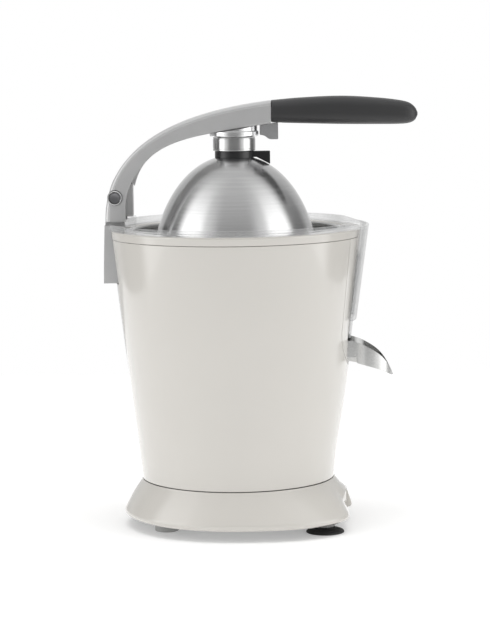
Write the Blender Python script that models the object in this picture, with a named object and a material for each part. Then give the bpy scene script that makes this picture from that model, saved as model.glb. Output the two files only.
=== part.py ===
"""Citrus press juicer: a lever-operated electric press, built from its separate pieces.

Lengths are in millimetres and are turned into metres when a mesh is made. Heights run up from the
floor. Until the frame empty moves it, the machine stands with the axis of its round body at x = 0,
y = 0, its spout and grip towards +X and its hinge towards -X.
"""

import math

import bmesh
import bpy
from mathutils import Vector

MM = 0.001
GAP = 0.3
ROUND = 36
SMALL_ROUND = 16
TINY_ROUND = 10

# Driving dimensions of the body.
COLUMN_BACK = -98.8
GRIP_END = 137.1
SEAM_Z = 35.6
SEAM_RADIUS = 72.7
BODY_TAPER = 0.1157
BODY_TOP = 217.6
BODY_WALL = 2.4
BAND_TOP = 224.1
GUARD_BOTTOM = 224.4
GUARD_TOP = 229.0
GUARD_RADIUS = 95.5
GUARD_INNER = 83.0
DECK_TOP = 185.5
SKIRT_BOTTOM = 8.2

# The front: fascia, chute, shield and spout.
FASCIA_WAIST_Z = 152.0
FASCIA_HALF_WIDTH = 35.6
FASCIA_DROP = 33.0
SLOT_HALF_WIDTH = 17.9
CHUTE_HALF_WIDTH = 16.0
CHUTE_BOTTOM = 141.4
CHUTE_TOP = 204.0
SHIELD_HALF_WIDTH = 26.5
SHIELD_BOTTOM = 155.3
SHIELD_WALL = 2.0
LIP_RADIUS = 100.5
LIP_Z = 226.2
SHIELD_TAPER = 0.1386
SPOUT_PIVOT = (76.5, 0.0, 133.0)

# The lever.
HINGE = (-89.5, 0.0, 248.4)
HEAD_RADIUS = 16.0
SLOT_RADIUS = 16.8
TONGUE_HALF_WIDTH = 8.0
CHEEK_INNER = 8.4
ARM_HALF_WIDTH = 14.0
CHEEK_BOTTOM = 230.6
ARM_OUTER_CURVE = ((27.6, 318.9), (-31.7, 312.1), (-96.9, 292.2), (-96.9, CHEEK_BOTTOM))
ARM_INNER_CURVE = ((27.6, 302.6), (-31.5, 292.0), (-82.6, 295.0), (-76.2, CHEEK_BOTTOM))
TRIGGER_PIVOT = (22.9, 0.0, 306.0)

# The press head: a dome whose section is a superellipse.
DOME_CENTRE_Z = 174.4
DOME_RADIUS = 64.9
DOME_HEIGHT = 102.0
DOME_POWER = 2.13
DOME_BOTTOM = 218.5
DOME_FLAT_TOP = 274.2
DOME_WALL = 1.5
COLLAR_RADIUS = 14.6

# The drive. Tooth counts and modules set the centre distances.
OUTPUT_TEETH = 42
IDLER_PINION_TEETH = 14
IDLER_TEETH = 48
MOTOR_TEETH = 12
SLOW_MODULE = 1.25
FAST_MODULE = 1.0
SHAFT_RADIUS = 5.0
IDLER_X = -(OUTPUT_TEETH + IDLER_PINION_TEETH) * SLOW_MODULE / 2
MOTOR_REACH = (IDLER_TEETH + MOTOR_TEETH) * FAST_MODULE / 2
MOTOR_BEARING = math.radians(-20)
MOTOR_X = IDLER_X + MOTOR_REACH * math.cos(MOTOR_BEARING)
MOTOR_Y = MOTOR_REACH * math.sin(MOTOR_BEARING)

PIVOTS = {
    "frame": (0.0, 0.0, 0.0),
    "arm_hinge": HINGE,
    "trigger_hinge": TRIGGER_PIVOT,
    "spout_hinge": SPOUT_PIVOT,
    "rocker_hinge": (80.5, 0.0, 18.0),
    "spindle_axis": (0.0, 0.0, 0.0),
    "idler_axis": (IDLER_X, 0.0, 0.0),
    "motor_axis": (MOTOR_X, MOTOR_Y, 0.0),
    "dome_axis": (0.0, 0.0, DOME_FLAT_TOP),
}

# name: (colour, roughness, metallic)
MATERIALS = {
    "ivory_gloss": ((0.66, 0.63, 0.58, 1.0), 0.22, 0.0),
    "cast_aluminium": ((0.42, 0.42, 0.42, 1.0), 0.42, 0.9),
    "brushed_steel": ((0.60, 0.60, 0.60, 1.0), 0.28, 1.0),
    "clear_plastic": ((0.90, 0.92, 0.92, 0.35), 0.08, 0.0),
    "black_plastic": ((0.03, 0.03, 0.03, 1.0), 0.30, 0.0),
    "grip_rubber": ((0.05, 0.05, 0.05, 1.0), 0.60, 0.0),
    "grey_plastic": ((0.45, 0.45, 0.44, 1.0), 0.50, 0.0),
    "cone_plastic": ((0.05, 0.05, 0.05, 1.0), 0.35, 0.0),
    "gear_nylon": ((0.80, 0.78, 0.70, 1.0), 0.45, 0.0),
    "sintered_bronze": ((0.50, 0.35, 0.18, 1.0), 0.45, 1.0),
    "motor_steel": ((0.35, 0.36, 0.38, 1.0), 0.40, 1.0),
    "copper": ((0.55, 0.25, 0.12, 1.0), 0.35, 1.0),
}


def clear_scene():
    for obj in list(bpy.data.objects):
        bpy.data.objects.remove(obj, do_unlink=True)


def make_materials():
    for name, (colour, roughness, metallic) in MATERIALS.items():
        made = bpy.data.materials.new(name)
        made.use_nodes = True
        shader = made.node_tree.nodes["Principled BSDF"]
        shader.inputs["Base Color"].default_value = colour
        shader.inputs["Roughness"].default_value = roughness
        shader.inputs["Metallic"].default_value = metallic


def make_pivots():
    """An empty on the machine's frame and on each joint axis; the frame puts the box's centre at x = 0."""
    for name, place in PIVOTS.items():
        empty = bpy.data.objects.new(name, None)
        bpy.context.scene.collection.objects.link(empty)
        if name == "frame":
            empty.location.x = -(COLUMN_BACK + GRIP_END) / 2 * MM
        else:
            empty.parent = bpy.data.objects["frame"]
            empty.location = Vector(place) * MM


# ---------------------------------------------------------------- mesh tools


def loft(rings, cyclic=False):
    """A solid skinned over closed rings of points; cyclic joins the last ring to the first."""
    bm = bmesh.new()
    rows = [[bm.verts.new(point) for point in ring] for ring in rings]
    count = len(rows[0])
    pairs = list(zip(rows, rows[1:]))
    if cyclic:
        pairs.append((rows[-1], rows[0]))
    else:
        bm.faces.new(rows[0])
        bm.faces.new(rows[-1])
    for low, high in pairs:
        for i in range(count):
            j = (i + 1) % count
            bm.faces.new((low[i], low[j], high[j], high[i]))
    bmesh.ops.remove_doubles(bm, verts=bm.verts, dist=1e-4)
    bmesh.ops.recalc_face_normals(bm, faces=bm.faces)
    return bm


def prism(outline, axis, low, high):
    """An outline drawn across an axis, extruded along it."""
    lift = {
        "X": lambda a, b, h: (h, a, b),
        "Y": lambda a, b, h: (a, h, b),
        "Z": lambda a, b, h: (a, b, h),
    }[axis]
    return loft([[lift(a, b, h) for a, b in outline] for h in (low, high)])


def circle(centre, radius, sides, start=0.0):
    turns = [start + 2 * math.pi * i / sides for i in range(sides)]
    return [(centre[0] + radius * math.cos(t), centre[1] + radius * math.sin(t)) for t in turns]


def rod(axis, centre, radius, low, high, sides=SMALL_ROUND):
    return prism(circle(centre, radius, sides), axis, low, high)


def box(x, y, z):
    return prism(((x[0], y[0]), (x[1], y[0]), (x[1], y[1]), (x[0], y[1])), "Z", z[0], z[1])


def turned(profile, sides=ROUND, first=0.0, last=360.0, centre=(0.0, 0.0)):
    """A closed (radius, height) profile turned about a vertical axis. It may be a function of the angle."""
    whole = last - first >= 360.0
    steps = sides if whole else sides + 1
    rings = []
    for i in range(steps):
        angle = math.radians(first + (last - first) * i / sides)
        points = profile(angle) if callable(profile) else profile
        rings.append(
            [(centre[0] + r * math.cos(angle), centre[1] + r * math.sin(angle), z) for r, z in points]
        )
    return loft(rings, cyclic=whole)


def between(table, at):
    """Straight-line interpolation in a short table of (height, value) pairs."""
    if at <= table[0][0]:
        return table[0][1]
    for (a, low), (b, high) in zip(table, table[1:]):
        if at <= b:
            return low + (high - low) * (at - a) / (b - a)
    return table[-1][1]


def smoothstep(t):
    t = min(max(t, 0.0), 1.0)
    return t * t * (3 - 2 * t)


def bezier(curve, t):
    """A point on a cubic curve in the XZ plane."""
    weights = ((1 - t) ** 3, 3 * (1 - t) ** 2 * t, 3 * (1 - t) * t**2, t**3)
    return tuple(sum(w * p[k] for w, p in zip(weights, curve)) for k in (0, 1))


# ---------------------------------------------------------------- objects


def make_object(name, bm, pivot):
    origin = Vector(PIVOTS[pivot])
    for vert in bm.verts:
        vert.co = (vert.co - origin) * MM
    mesh = bpy.data.meshes.new(name)
    bm.to_mesh(mesh)
    bm.free()
    obj = bpy.data.objects.new(name, mesh)
    bpy.context.scene.collection.objects.link(obj)
    obj.parent = bpy.data.objects[pivot]
    return obj


def part(name, bm, material, pivot="frame"):
    obj = make_object(name, bm, pivot)
    obj.data.materials.append(bpy.data.materials[material])
    obj.data.shade_smooth()
    obj.data.set_sharp_from_angle(angle=math.radians(32))
    return obj


def boolean(obj, bm, operation):
    """A Boolean against a helper shape that is hidden and drawn as wire. Returns the helper."""
    label = f"{obj.name}_{operation.lower()}_{len(obj.modifiers)}"
    helper = make_object(label, bm, "frame")
    helper.hide_render = True
    helper.display_type = "WIRE"
    modifier = obj.modifiers.new(label, "BOOLEAN")
    modifier.operation = operation
    modifier.solver = "EXACT"
    modifier.object = helper
    return helper


def cut(obj, bm):
    return boolean(obj, bm, "DIFFERENCE")


def fuse(obj, bm):
    return boolean(obj, bm, "UNION")


def keep(obj, bm):
    return boolean(obj, bm, "INTERSECT")


# ---------------------------------------------------------------- base

SKIRT_LEVELS = (SKIRT_BOTTOM, 9.6, 12.0, 14.7, 20.5, 25.0, 29.0, 33.6, 35.3)
SKIRT_FLARE = ((SKIRT_BOTTOM, 0.80), (9.6, 0.95), (12.0, 1.0), (14.7, 0.92), (25.0, 0.5), (35.4, 0.0))
SKIRT_NECK = 72.7
HOOD = ((SKIRT_BOTTOM, 82.2), (12.0, 82.6), (20.5, 82.6), (25.0, 81.6), (29.0, 77.6), (35.4, SKIRT_NECK))
HOOD_EDGE = 22.0
HOOD_FADE = 8.0
FOOT_DEPTH = 84.0
FOOT_REAR = 3.0
FOOT_SWELL = 13.0
FOOT_FRONT = 82.6
CORNER_SHARPNESS = 40
SKIRT_WALL = 2.8
INLET = (-64.0, 0.0)


def foot_radius(angle):
    """The foot's widest outline: round behind, swelling to two soft corners, and flat across the front."""
    ahead = math.cos(angle)
    if ahead <= 0.01:
        return FOOT_DEPTH + FOOT_REAR * ahead**2
    swollen = FOOT_DEPTH + FOOT_SWELL * smoothstep(ahead / 0.9)
    share = (swollen * ahead / FOOT_FRONT) ** CORNER_SHARPNESS
    return swollen / (1 + share) ** (1 / CORNER_SHARPNESS)


def skirt_radius(angle, z):
    """Straight flanks from the round neck out to the foot, with a hood over the rocker."""
    flank = SKIRT_NECK + (foot_radius(angle) - SKIRT_NECK) * between(SKIRT_FLARE, z)
    turn = abs(math.degrees(math.atan2(math.sin(angle), math.cos(angle))))
    hood = smoothstep((HOOD_EDGE - turn) / HOOD_FADE)
    return flank + (max(flank, between(HOOD, z)) - flank) * hood


def skirt_profile(angle):
    outer = [(skirt_radius(angle, z), z) for z in SKIRT_LEVELS]
    inner = [(skirt_radius(angle, z) - SKIRT_WALL, z) for z in (31.8, 25.0, 12.0, SKIRT_BOTTOM)]
    return outer + [(66.0, 35.3), (66.0, 32.3)] + inner


def make_base():
    skirt = part("base_skirt", turned(skirt_profile), "ivory_gloss")
    cut(skirt, box((70, 90), (-10.4, 10.4), (11.1, 24.8)))

    outline = []
    for i in range(ROUND):
        angle = 2 * math.pi * i / ROUND
        reach = skirt_radius(angle, SKIRT_BOTTOM) - SKIRT_WALL - 0.5
        outline.append((reach * math.cos(angle), reach * math.sin(angle)))
    plate = part("base_plate", prism(outline, "Z", 9.0, 11.5), "grey_plastic")
    cut(plate, rod("Z", INLET, 6.8, 5, 15))
    for i in range(5):
        y = -16 + 8 * i
        cut(plate, box((-22, 22), (y - 1.6, y + 1.6), (5, 15)))

    corners = [(x, y) for x in (-40, 34) for y in (-52, 52)]
    for number, (x, y) in enumerate(corners, 1):
        cut(plate, rod("Z", (x, y), 2.3, 5, 15, TINY_ROUND))
        screw = part(f"base_screw_{number}", rod("Z", (x, y), 3.6, 7.2, 8.7, TINY_ROUND), "motor_steel")
        fuse(screw, rod("Z", (x, y), 1.8, 8.0, 20.0, TINY_ROUND))

    inlet = part("cord_inlet", rod("Z", INLET, 6.4, 7.2, 15.0), "black_plastic")
    for low, high in ((7.2, 8.7), (11.8, 13.3)):
        fuse(inlet, rod("Z", INLET, 8.4, low, high))
    cut(inlet, rod("Z", INLET, 3.4, 0, 20, TINY_ROUND))


def make_feet():
    """Two plain feet at the back and two suction feet, each on its own stem, at the front."""
    for side, y in (("near", -33.0), ("far", 33.0)):
        profile = ((0, 0), (8.4, 0), (9.0, 0.8), (9.0, 6.5), (8.4, 8.6), (0, 8.6))
        part(f"rear_foot_{side}", turned(profile, SMALL_ROUND, centre=(-54.0, y)), "grey_plastic")
    for side, y in (("near", -46.0), ("far", 46.0)):
        cup = ((0, 1.4), (9.0, 1.0), (12.2, 0), (14.0, 0), (14.2, 0.7), (13.4, 2.4), (7.0, 3.9), (0, 3.9))
        part(f"suction_cup_{side}", turned(cup, 24, centre=(64.0, y)), "black_plastic")
        stem = ((0, 4.2), (6.4, 4.2), (8.2, 6.4), (8.2, 8.6), (0, 8.6))
        part(f"suction_stem_{side}", turned(stem, SMALL_ROUND, centre=(64.0, y)), "grey_plastic")


def make_power_rocker():
    outline = (
        (76.5, 11.7), (84.2, 11.7), (85.5, 13.2), (85.1, 15.7), (83.6, 20.4), (82.0, 24.4), (80.5, 24.4),
        (77.0, 23.4), (76.5, 21.0),
    )
    part("power_rocker", prism(outline, "Y", -10.0, 10.0), "ivory_gloss", "rocker_hinge")


# ---------------------------------------------------------------- body

CHIN = ((47.0, 0.0), (85.0, 1.4), (110.0, 2.3), (125.0, 1.5), (150.0, 0.0))
BODY_LEVELS = (35.8, 60.0, 85.0, 110.0, 125.0, 150.0, 184.0, BODY_TOP)


def body_radius(z, angle=math.pi):
    """The tapering body, with a soft swell low on its front."""
    swell = max(0.0, math.cos(2 * angle)) ** 2 if math.cos(angle) > 0 else 0.0
    return SEAM_RADIUS + BODY_TAPER * (z - SEAM_Z) + between(CHIN, z) * swell


def body_profile(angle):
    outer = [(body_radius(z, angle), z) for z in BODY_LEVELS]
    inner = [(body_radius(z, angle) - BODY_WALL, z) for z in (BODY_TOP, 150.0, 110.0, 38.3)]
    return outer + inner + [(62.0, 38.3), (62.0, 35.8)]


def fascia_outline(inset, top):
    """A tall U seen from the front: sides that close a little downwards, on half an ellipse."""
    widen = (39.9 - FASCIA_HALF_WIDTH) / (214.0 - FASCIA_WAIST_Z)
    half = FASCIA_HALF_WIDTH - inset
    top_half = half + widen * (top - FASCIA_WAIST_Z)
    points = [(top_half, top)]
    for i in range(13):
        angle = math.pi * i / 12
        points.append((half * math.cos(angle), FASCIA_WAIST_Z - (FASCIA_DROP - inset) * math.sin(angle)))
    points.append((-top_half, top))
    return points


def make_housing():
    housing = part("housing", turned(body_profile), "ivory_gloss")
    cut(housing, prism(fascia_outline(0.0, 230.0), "X", 60.0, 110.0))
    cut(housing, box((-110, -70), (-13.4, 13.4), (184.0, 230)))

    band = ((94.5, BAND_TOP), (93.8, 217.9), (91.2, 217.9), (91.6, 221.9), (82.5, 221.9), (82.5, BAND_TOP))
    ring = part("top_band", turned(band), "ivory_gloss")
    cut(ring, box((-110, -70), (-13.4, 13.4), (215, 230)))


def make_fascia():
    blank = turned(body_profile, 12, -32, 32)
    fascia = part("front_panel", blank, "ivory_gloss")
    keep(fascia, prism(fascia_outline(GAP, 230.0), "X", 60.0, 110.0))
    slope = 108.6
    slot = (
        (-SLOT_HALF_WIDTH, 145.0), (-SLOT_HALF_WIDTH, slope + SLOT_HALF_WIDTH), (-13.7, slope + 13.7),
        (13.7, slope + 13.7), (SLOT_HALF_WIDTH, slope + SLOT_HALF_WIDTH), (SLOT_HALF_WIDTH, 145.0),
    )
    cut(fascia, prism(slot, "X", 60.0, 110.0))
    chute_half = CHUTE_HALF_WIDTH + 0.4
    cut(fascia, box((60, 110), (-chute_half, chute_half), (140.0, CHUTE_TOP + 1.5)))
    for side in (-1, 1):
        y = sorted((side * 18.3, side * 21.5))
        fuse(fascia, box((72.0, 81.8), y, (129.0, 137.5)))
    cut(fascia, rod("Y", (SPOUT_PIVOT[0], SPOUT_PIVOT[2]), 1.8, -30, 30, TINY_ROUND))


def make_drive_deck():
    """The inner floor that carries the bowl above and the gearbox below."""
    profile = ((8.3, 182.5), (85.0, 182.5), (85.0, DECK_TOP), (8.3, DECK_TOP))
    deck = part("drive_deck", turned(profile), "grey_plastic")
    cut(deck, box((79.5, 100), (-17.0, 17.0), (170, 200)))
    for x, y in ((21, 17), (21, -17), (-47, 0)):
        fuse(deck, rod("Z", (x, y), 4.0, 160.5, 183.5, TINY_ROUND))


# ---------------------------------------------------------------- juice path


def make_bowl():
    profile = (
        (6.6, 186.0), (70.0, 186.0), (79.0, 193.0), (79.0, 222.0), (82.2, 222.0), (82.2, 223.8),
        (77.2, 223.8), (77.2, 194.0), (69.3, 188.0), (9.0, 188.0), (9.0, 204.0), (6.6, 204.0),
    )
    bowl = part("juice_bowl", turned(profile), "brushed_steel")
    fuse(bowl, box((68.0, 88.5), (-11.0, 11.0), (186.3, 199.5)))
    cut(bowl, box((60.0, 95.0), (-9.0, 9.0), (188.3, 199.8)))


def front_section(z, back, half_width, radius, corner=0.0):
    """A horizontal section with a flat back and sides and a front that follows a circle about the axis."""
    reach = half_width - corner
    arc = [math.asin(reach / radius) * k / 4 for k in range(-4, 5)]
    points = [(radius * math.cos(a), radius * math.sin(a), z) for a in arc]
    if corner:
        side = points[0][0] - corner
        points = [(side, -half_width, z), *points, (side, half_width, z)]
    return [(back, -half_width, z), *points, (back, half_width, z)]


def chute_front(z):
    return 86.4 + 0.13 * (z - 141.1)


def make_chute():
    wall = 1.8
    levels = (CHUTE_BOTTOM, CHUTE_TOP)
    chute = part(
        "juice_chute",
        loft([front_section(z, 76.0, CHUTE_HALF_WIDTH, chute_front(z)) for z in levels]),
        "clear_plastic",
    )
    inner = [
        front_section(z, 76.0 + wall, CHUTE_HALF_WIDTH - wall, chute_front(z) - wall)
        for z in (CHUTE_BOTTOM - 5, CHUTE_TOP + 5)
    ]
    cut(chute, loft(inner))
    cut(chute, box((70, 80.5), (-20, 20), (181.0, 210)))

    levels = (137.4, CHUTE_BOTTOM - GAP)
    seal = part("chute_seal", loft([front_section(z, 76.0, 15.7, 86.3) for z in levels]), "black_plastic")
    cut(seal, box((78.5, 84.0), (-12.5, 12.5), (130, 150)))


def shield_radius(z):
    return LIP_RADIUS - SHIELD_TAPER * (226.1 - z)


def guard_lip(angle):
    """1 where the ring swells out over the chute, 0 round the rest of it."""
    degrees = abs(math.degrees(math.atan2(math.sin(angle), math.cos(angle))))
    return smoothstep((31.0 - degrees) / 11.0)


def guard_profile(angle):
    lip = guard_lip(angle)
    outer = GUARD_RADIUS + (LIP_RADIUS - GUARD_RADIUS) * lip
    top = GUARD_TOP + (LIP_Z - GUARD_TOP) * lip
    floor_top = 225.9
    return (
        (outer - 0.6, GUARD_BOTTOM), (outer, 225.2), (outer, top - 0.7), (outer - 0.8, top),
        (outer - 2.6, top), (outer - 3.0, floor_top), (GUARD_INNER, floor_top), (GUARD_INNER, GUARD_BOTTOM),
    )


def shield_back(z):
    """Where the shield's side walls end, 1 mm off the body."""
    return math.sqrt((body_radius(z) + 1.0) ** 2 - SHIELD_HALF_WIDTH**2)


def make_splash_guard():
    """A clear open ring whose front lip runs down into a shield over the chute."""
    guard = part("splash_guard", turned(guard_profile), "clear_plastic")
    outer = [
        front_section(z, shield_back(z), SHIELD_HALF_WIDTH, shield_radius(z), 3.0)
        for z in (SHIELD_BOTTOM, 225.3)
    ]
    fuse(guard, loft(outer))
    half = SHIELD_HALF_WIDTH - SHIELD_WALL
    inner = [
        front_section(z, 60.0, half, shield_radius(min(z, 226.1)) - SHIELD_WALL, 2.0)
        for z in (SHIELD_BOTTOM - 5, 226.1, 235.0)
    ]
    cut(guard, loft(inner))
    cut(guard, box((-110, -70), (-16.8, 16.8), (215, 240)))

    outline = ((-83.0, 225.6), (-74.5, 226.4), (-74.5, 233.8), (-83.0, 233.8))
    part("guard_clip", prism(outline, "Y", -7.6, 7.6), "clear_plastic")


SPOUT_RIM = (
    (74.5, 136.8), (84.0, 139.3), (92.0, 137.3), (99.5, 133.6), (105.5, 129.8), (109.7, 126.0),
    (114.0, 120.0), (117.8, 112.2),
)
SPOUT_KEEL = ((117.0, 111.8), (111.1, 115.2), (103.4, 118.6), (93.8, 121.4), (84.7, 123.5), (74.5, 124.6))


def spout_plan(inset):
    """Seen from above: parallel at the root, widest near the middle, then half an ellipse to the tip."""
    tip, half = 20.2 - inset, 20.0 - inset
    side = [(74.5 + inset, 17.5 - inset), (88.0, 17.5 - inset), (93.0, 18.9 - inset)]
    nose = [(98 + tip * math.sin(a), half * math.cos(a)) for a in [math.pi * k / 12 for k in range(13)]]
    return side + nose + [(x, -y) for x, y in reversed(side)]


def make_spout():
    wall = 1.2
    spout = part("spout", prism(SPOUT_RIM + SPOUT_KEEL, "Y", -24, 24), "brushed_steel", "spout_hinge")
    keep(spout, prism(spout_plan(0.0), "Z", 100, 150))
    floor_line = [
        (117.8, 112.9), (111.1, 116.5), (103.4, 119.9), (93.8, 122.8), (86.0, 127.5), (74.5 + wall, 127.8),
    ]
    hollow = prism([(74.5 + wall, 150), (125, 150), (125, 109.5), *floor_line], "Y", -24, 24)
    scoop = prism(spout_plan(wall), "Z", 100, 155)
    inside = cut(spout, hollow)
    keep(inside, scoop)
    for side in (-1, 1):
        wedge = ((side * 12.0, 121.1), (side * 25.0, 121.1), (side * 25.0, 134.1))
        cut(spout, prism(wedge, "X", 70.0, 90.0))
    cut(spout, rod("Y", (SPOUT_PIVOT[0], SPOUT_PIVOT[2]), 1.8, -30, 30, TINY_ROUND))
    pin = rod("Y", (SPOUT_PIVOT[0], SPOUT_PIVOT[2]), 1.4, -21.0, 21.0, TINY_ROUND)
    part("spout_pin", pin, "motor_steel")


def make_strainer():
    profile = (
        (62.0, 188.6), (62.0, 208.0), (60.4, 208.0), (60.4, 194.6), (10.5, 194.6), (10.5, 193.0),
        (60.4, 193.0), (60.4, 188.6),
    )
    strainer = part("strainer", turned(profile), "brushed_steel")
    for i in range(12):
        angle = 2 * math.pi * i / 12
        slot = [
            (r * math.cos(angle) - s * math.sin(angle), r * math.sin(angle) + s * math.cos(angle))
            for r, s in ((47.0, -1.2), (58.0, -1.2), (58.0, 1.2), (47.0, 1.2))
        ]
        cut(strainer, prism(slot, "Z", 190, 197))


CONE_FLUTES = 8
CONE_PROFILE = ((200.5, 44.0), (206.0, 40.0), (216.0, 32.5), (228.0, 24.0), (240.0, 15.0), (249.0, 7.5))


def cone_profile(angle):
    flute = math.cos(CONE_FLUTES * angle)
    ribbed = [(r * (1 + 0.06 * flute), z) for z, r in CONE_PROFILE]
    bore = [(5.3, 229.0), (5.3, 207.0), (13.0, 207.0), (13.0, 197.5)]
    return [(44.0, 197.5), *ribbed, (0.0, 256.0), (0.0, 229.0), *bore]


# ---------------------------------------------------------------- drive


def gear_outline(teeth, module, centre, tooth_at):
    """Straight-flanked teeth with running clearance; the first tooth points along tooth_at, in radians."""
    pitch = teeth * module / 2
    thick = math.pi * module / 2 - 0.42 * module
    flank = math.tan(math.radians(20))
    root = (pitch - 1.25 * module, thick + 2.5 * module * flank)
    tip = (pitch + 0.95 * module, thick - 1.9 * module * flank)
    points = []
    for k in range(teeth):
        middle = tooth_at + 2 * math.pi * k / teeth
        for (radius, width), side in ((root, -1), (tip, -1), (tip, 1), (root, 1)):
            angle = middle + side * width / 2 / pitch
            points.append((centre[0] + radius * math.cos(angle), centre[1] + radius * math.sin(angle)))
    return points


def make_spindle():
    part("reamer_cone", turned(cone_profile, 4 * CONE_FLUTES), "cone_plastic", "spindle_axis")
    part("drive_shaft", rod("Z", (0, 0), SHAFT_RADIUS, 131.5, 228.5), "motor_steel", "spindle_axis")
    half_pitch = math.pi / OUTPUT_TEETH
    outline = gear_outline(OUTPUT_TEETH, SLOW_MODULE, (0, 0), math.pi + half_pitch)
    gear = part("output_gear", prism(outline, "Z", 133.0, 145.0), "gear_nylon", "spindle_axis")
    cut(gear, rod("Z", (0, 0), 5.4, 120, 160))

    # name: (inner radius, outer radius, lowest z, highest z, material)
    sleeves = {
        "thrust_collar": (5.4, 8.5, 177.0, 180.0, "motor_steel"),
        "upper_bush": (5.3, 7.9, 181.6, 185.6, "sintered_bronze"),
        "lower_bush": (5.3, 7.9, 156.4, 160.2, "sintered_bronze"),
        "shaft_seal": (5.3, 6.3, 199.0, 203.6, "black_plastic"),
    }
    for name, (bore, outer, low, high, material) in sleeves.items():
        profile = ((bore, low), (outer, low), (outer, high), (bore, high))
        part(name, turned(profile, SMALL_ROUND), material)


def make_return_spring():
    """A coil between the gearbox and the thrust collar, which lifts the cone when the fruit is let go."""
    turns, steps, sides, wire = 5, 10, 5, 0.7
    low, high, radius = 161.5, 176.0, 7.2
    rings = []
    for i in range(turns * steps + 1):
        angle = 2 * math.pi * i / steps
        rise = low + (high - low) * i / (turns * steps)
        rings.append([
            ((radius + wire * math.cos(a)) * math.cos(angle), (radius + wire * math.cos(a)) * math.sin(angle),
             rise + wire * math.sin(a))
            for a in [2 * math.pi * k / sides for k in range(sides)]
        ])
    part("return_spring", loft(rings), "motor_steel")


def make_idler():
    centre = (IDLER_X, 0.0)
    half_pitch = math.pi / IDLER_TEETH
    wheel = gear_outline(IDLER_TEETH, FAST_MODULE, centre, MOTOR_BEARING + half_pitch)
    gear = part("idler_gear", prism(wheel, "Z", 117.5, 126.5), "gear_nylon", "idler_axis")
    pinion = gear_outline(IDLER_PINION_TEETH, SLOW_MODULE, centre, 0.0)
    fuse(gear, prism(pinion, "Z", 124.0, 147.0))
    cut(gear, rod("Z", centre, 3.3, 110, 160, TINY_ROUND))
    part("idler_axle", rod("Z", centre, 2.9, 115.3, 156.6, TINY_ROUND), "motor_steel")


def gearbox_shell(inset):
    """Two circles round the gears, joined by their tangents."""
    wide, narrow = 31.0 - inset, 28.6 - inset
    lean = math.acos((wide - narrow) / abs(IDLER_X))
    right = [math.pi - lean - 2 * (math.pi - lean) * k / 14 for k in range(15)]
    left = [-(math.pi - lean) - 2 * lean * k / 12 for k in range(13)]
    points = [(wide * math.cos(a), wide * math.sin(a)) for a in right]
    return points + [(IDLER_X + narrow * math.cos(a), narrow * math.sin(a)) for a in left]


def make_gearbox():
    base = part("gearbox_base", prism(gearbox_shell(0.0), "Z", 112.0, 115.0), "grey_plastic")
    cut(base, rod("Z", (MOTOR_X, MOTOR_Y), 4.0, 100, 130, TINY_ROUND))
    cover = part("gearbox_cover", prism(gearbox_shell(0.0), "Z", 115.3, 160.2), "grey_plastic")
    cut(cover, prism(gearbox_shell(1.8), "Z", 110.0, 157.0))
    cut(cover, rod("Z", (0, 0), 8.3, 150, 170))

    switch = part("start_switch", box((4.0, 15.0), (-4.0, 6.0), (115.3, 127.6)), "black_plastic")
    fuse(switch, box((-3.5, 8.0), (-2.5, 3.5), (126.8, 128.6)))


def make_motor():
    centre = (MOTOR_X, MOTOR_Y)
    shell = (
        (4.0, 48.0), (27.5, 48.0), (29.0, 49.5), (29.0, 110.2), (27.5, 111.7), (4.0, 111.7),
        (4.0, 109.9), (27.2, 109.9), (27.2, 49.8), (4.0, 49.8),
    )
    part("motor_can", turned(shell, 24, centre=centre), "motor_steel")
    core = (
        (2.9, 56.0), (12.0, 56.0), (12.0, 62.0), (22.0, 66.0), (22.0, 96.0), (18.0, 100.0), (2.9, 100.0),
    )
    part("motor_armature", turned(core, SMALL_ROUND, centre=centre), "copper", "motor_axis")
    part("motor_shaft", rod("Z", centre, 2.5, 42.0, 127.6, TINY_ROUND), "motor_steel", "motor_axis")
    outline = gear_outline(MOTOR_TEETH, FAST_MODULE, centre, MOTOR_BEARING + math.pi)
    pinion = part("motor_pinion", prism(outline, "Z", 116.6, 127.0), "sintered_bronze", "motor_axis")
    cut(pinion, rod("Z", centre, 2.9, 110, 130, TINY_ROUND))


# ---------------------------------------------------------------- lever and press head


def hinge_circle(radius, degrees):
    angle = math.radians(degrees)
    return (HINGE[0] + radius * math.cos(angle), HINGE[2] + radius * math.sin(angle))


def make_column():
    block = (
        (COLUMN_BACK, 184.4), (-86.0, 184.4), (-86.0, 186.8), (-83.4, 186.8), (-83.4, 227.6),
        (-97.6, 227.6), (-97.8, 222.0), (-98.6, 198.0),
    )
    column = part("hinge_column", prism(block, "Y", -13.0, 13.0), "cast_aluminium")
    head = [hinge_circle(HEAD_RADIUS, degrees) for degrees in (85, 70, 55, 40)]
    tongue = [
        (-97.4, 226.0), (-96.7, 236.0), (-95.7, 243.0), (-94.6, 249.0), (-92.8, 256.0), (-90.8, 261.0),
        *head, (-76.4, 256.0), (-76.4, 234.3), (-83.6, 234.3), (-83.6, 226.0),
    ]
    fuse(column, prism(tongue, "Y", -TONGUE_HALF_WIDTH, TONGUE_HALF_WIDTH))
    fuse(column, box((-84.3, -82.2), (-21.5, 21.5), (187.4, 216.0)))
    cut(column, rod("Y", (HINGE[0], HINGE[2]), 4.7, -30, 30, 24))
    for side, y in (("near", -17.3), ("far", 17.3)):
        cut(column, rod("X", (y, 201.0), 2.2, -90, -70, TINY_ROUND))
        head_disc = rod("X", (y, 201.0), 3.3, -81.9, -80.4, TINY_ROUND)
        screw = part(f"column_screw_{side}", head_disc, "motor_steel")
        fuse(screw, rod("X", (y, 201.0), 1.8, -84.6, -81.0, TINY_ROUND))

    part("hinge_pin", rod("Y", (HINGE[0], HINGE[2]), 4.3, -14.7, 14.7, 24), "motor_steel")


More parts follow.
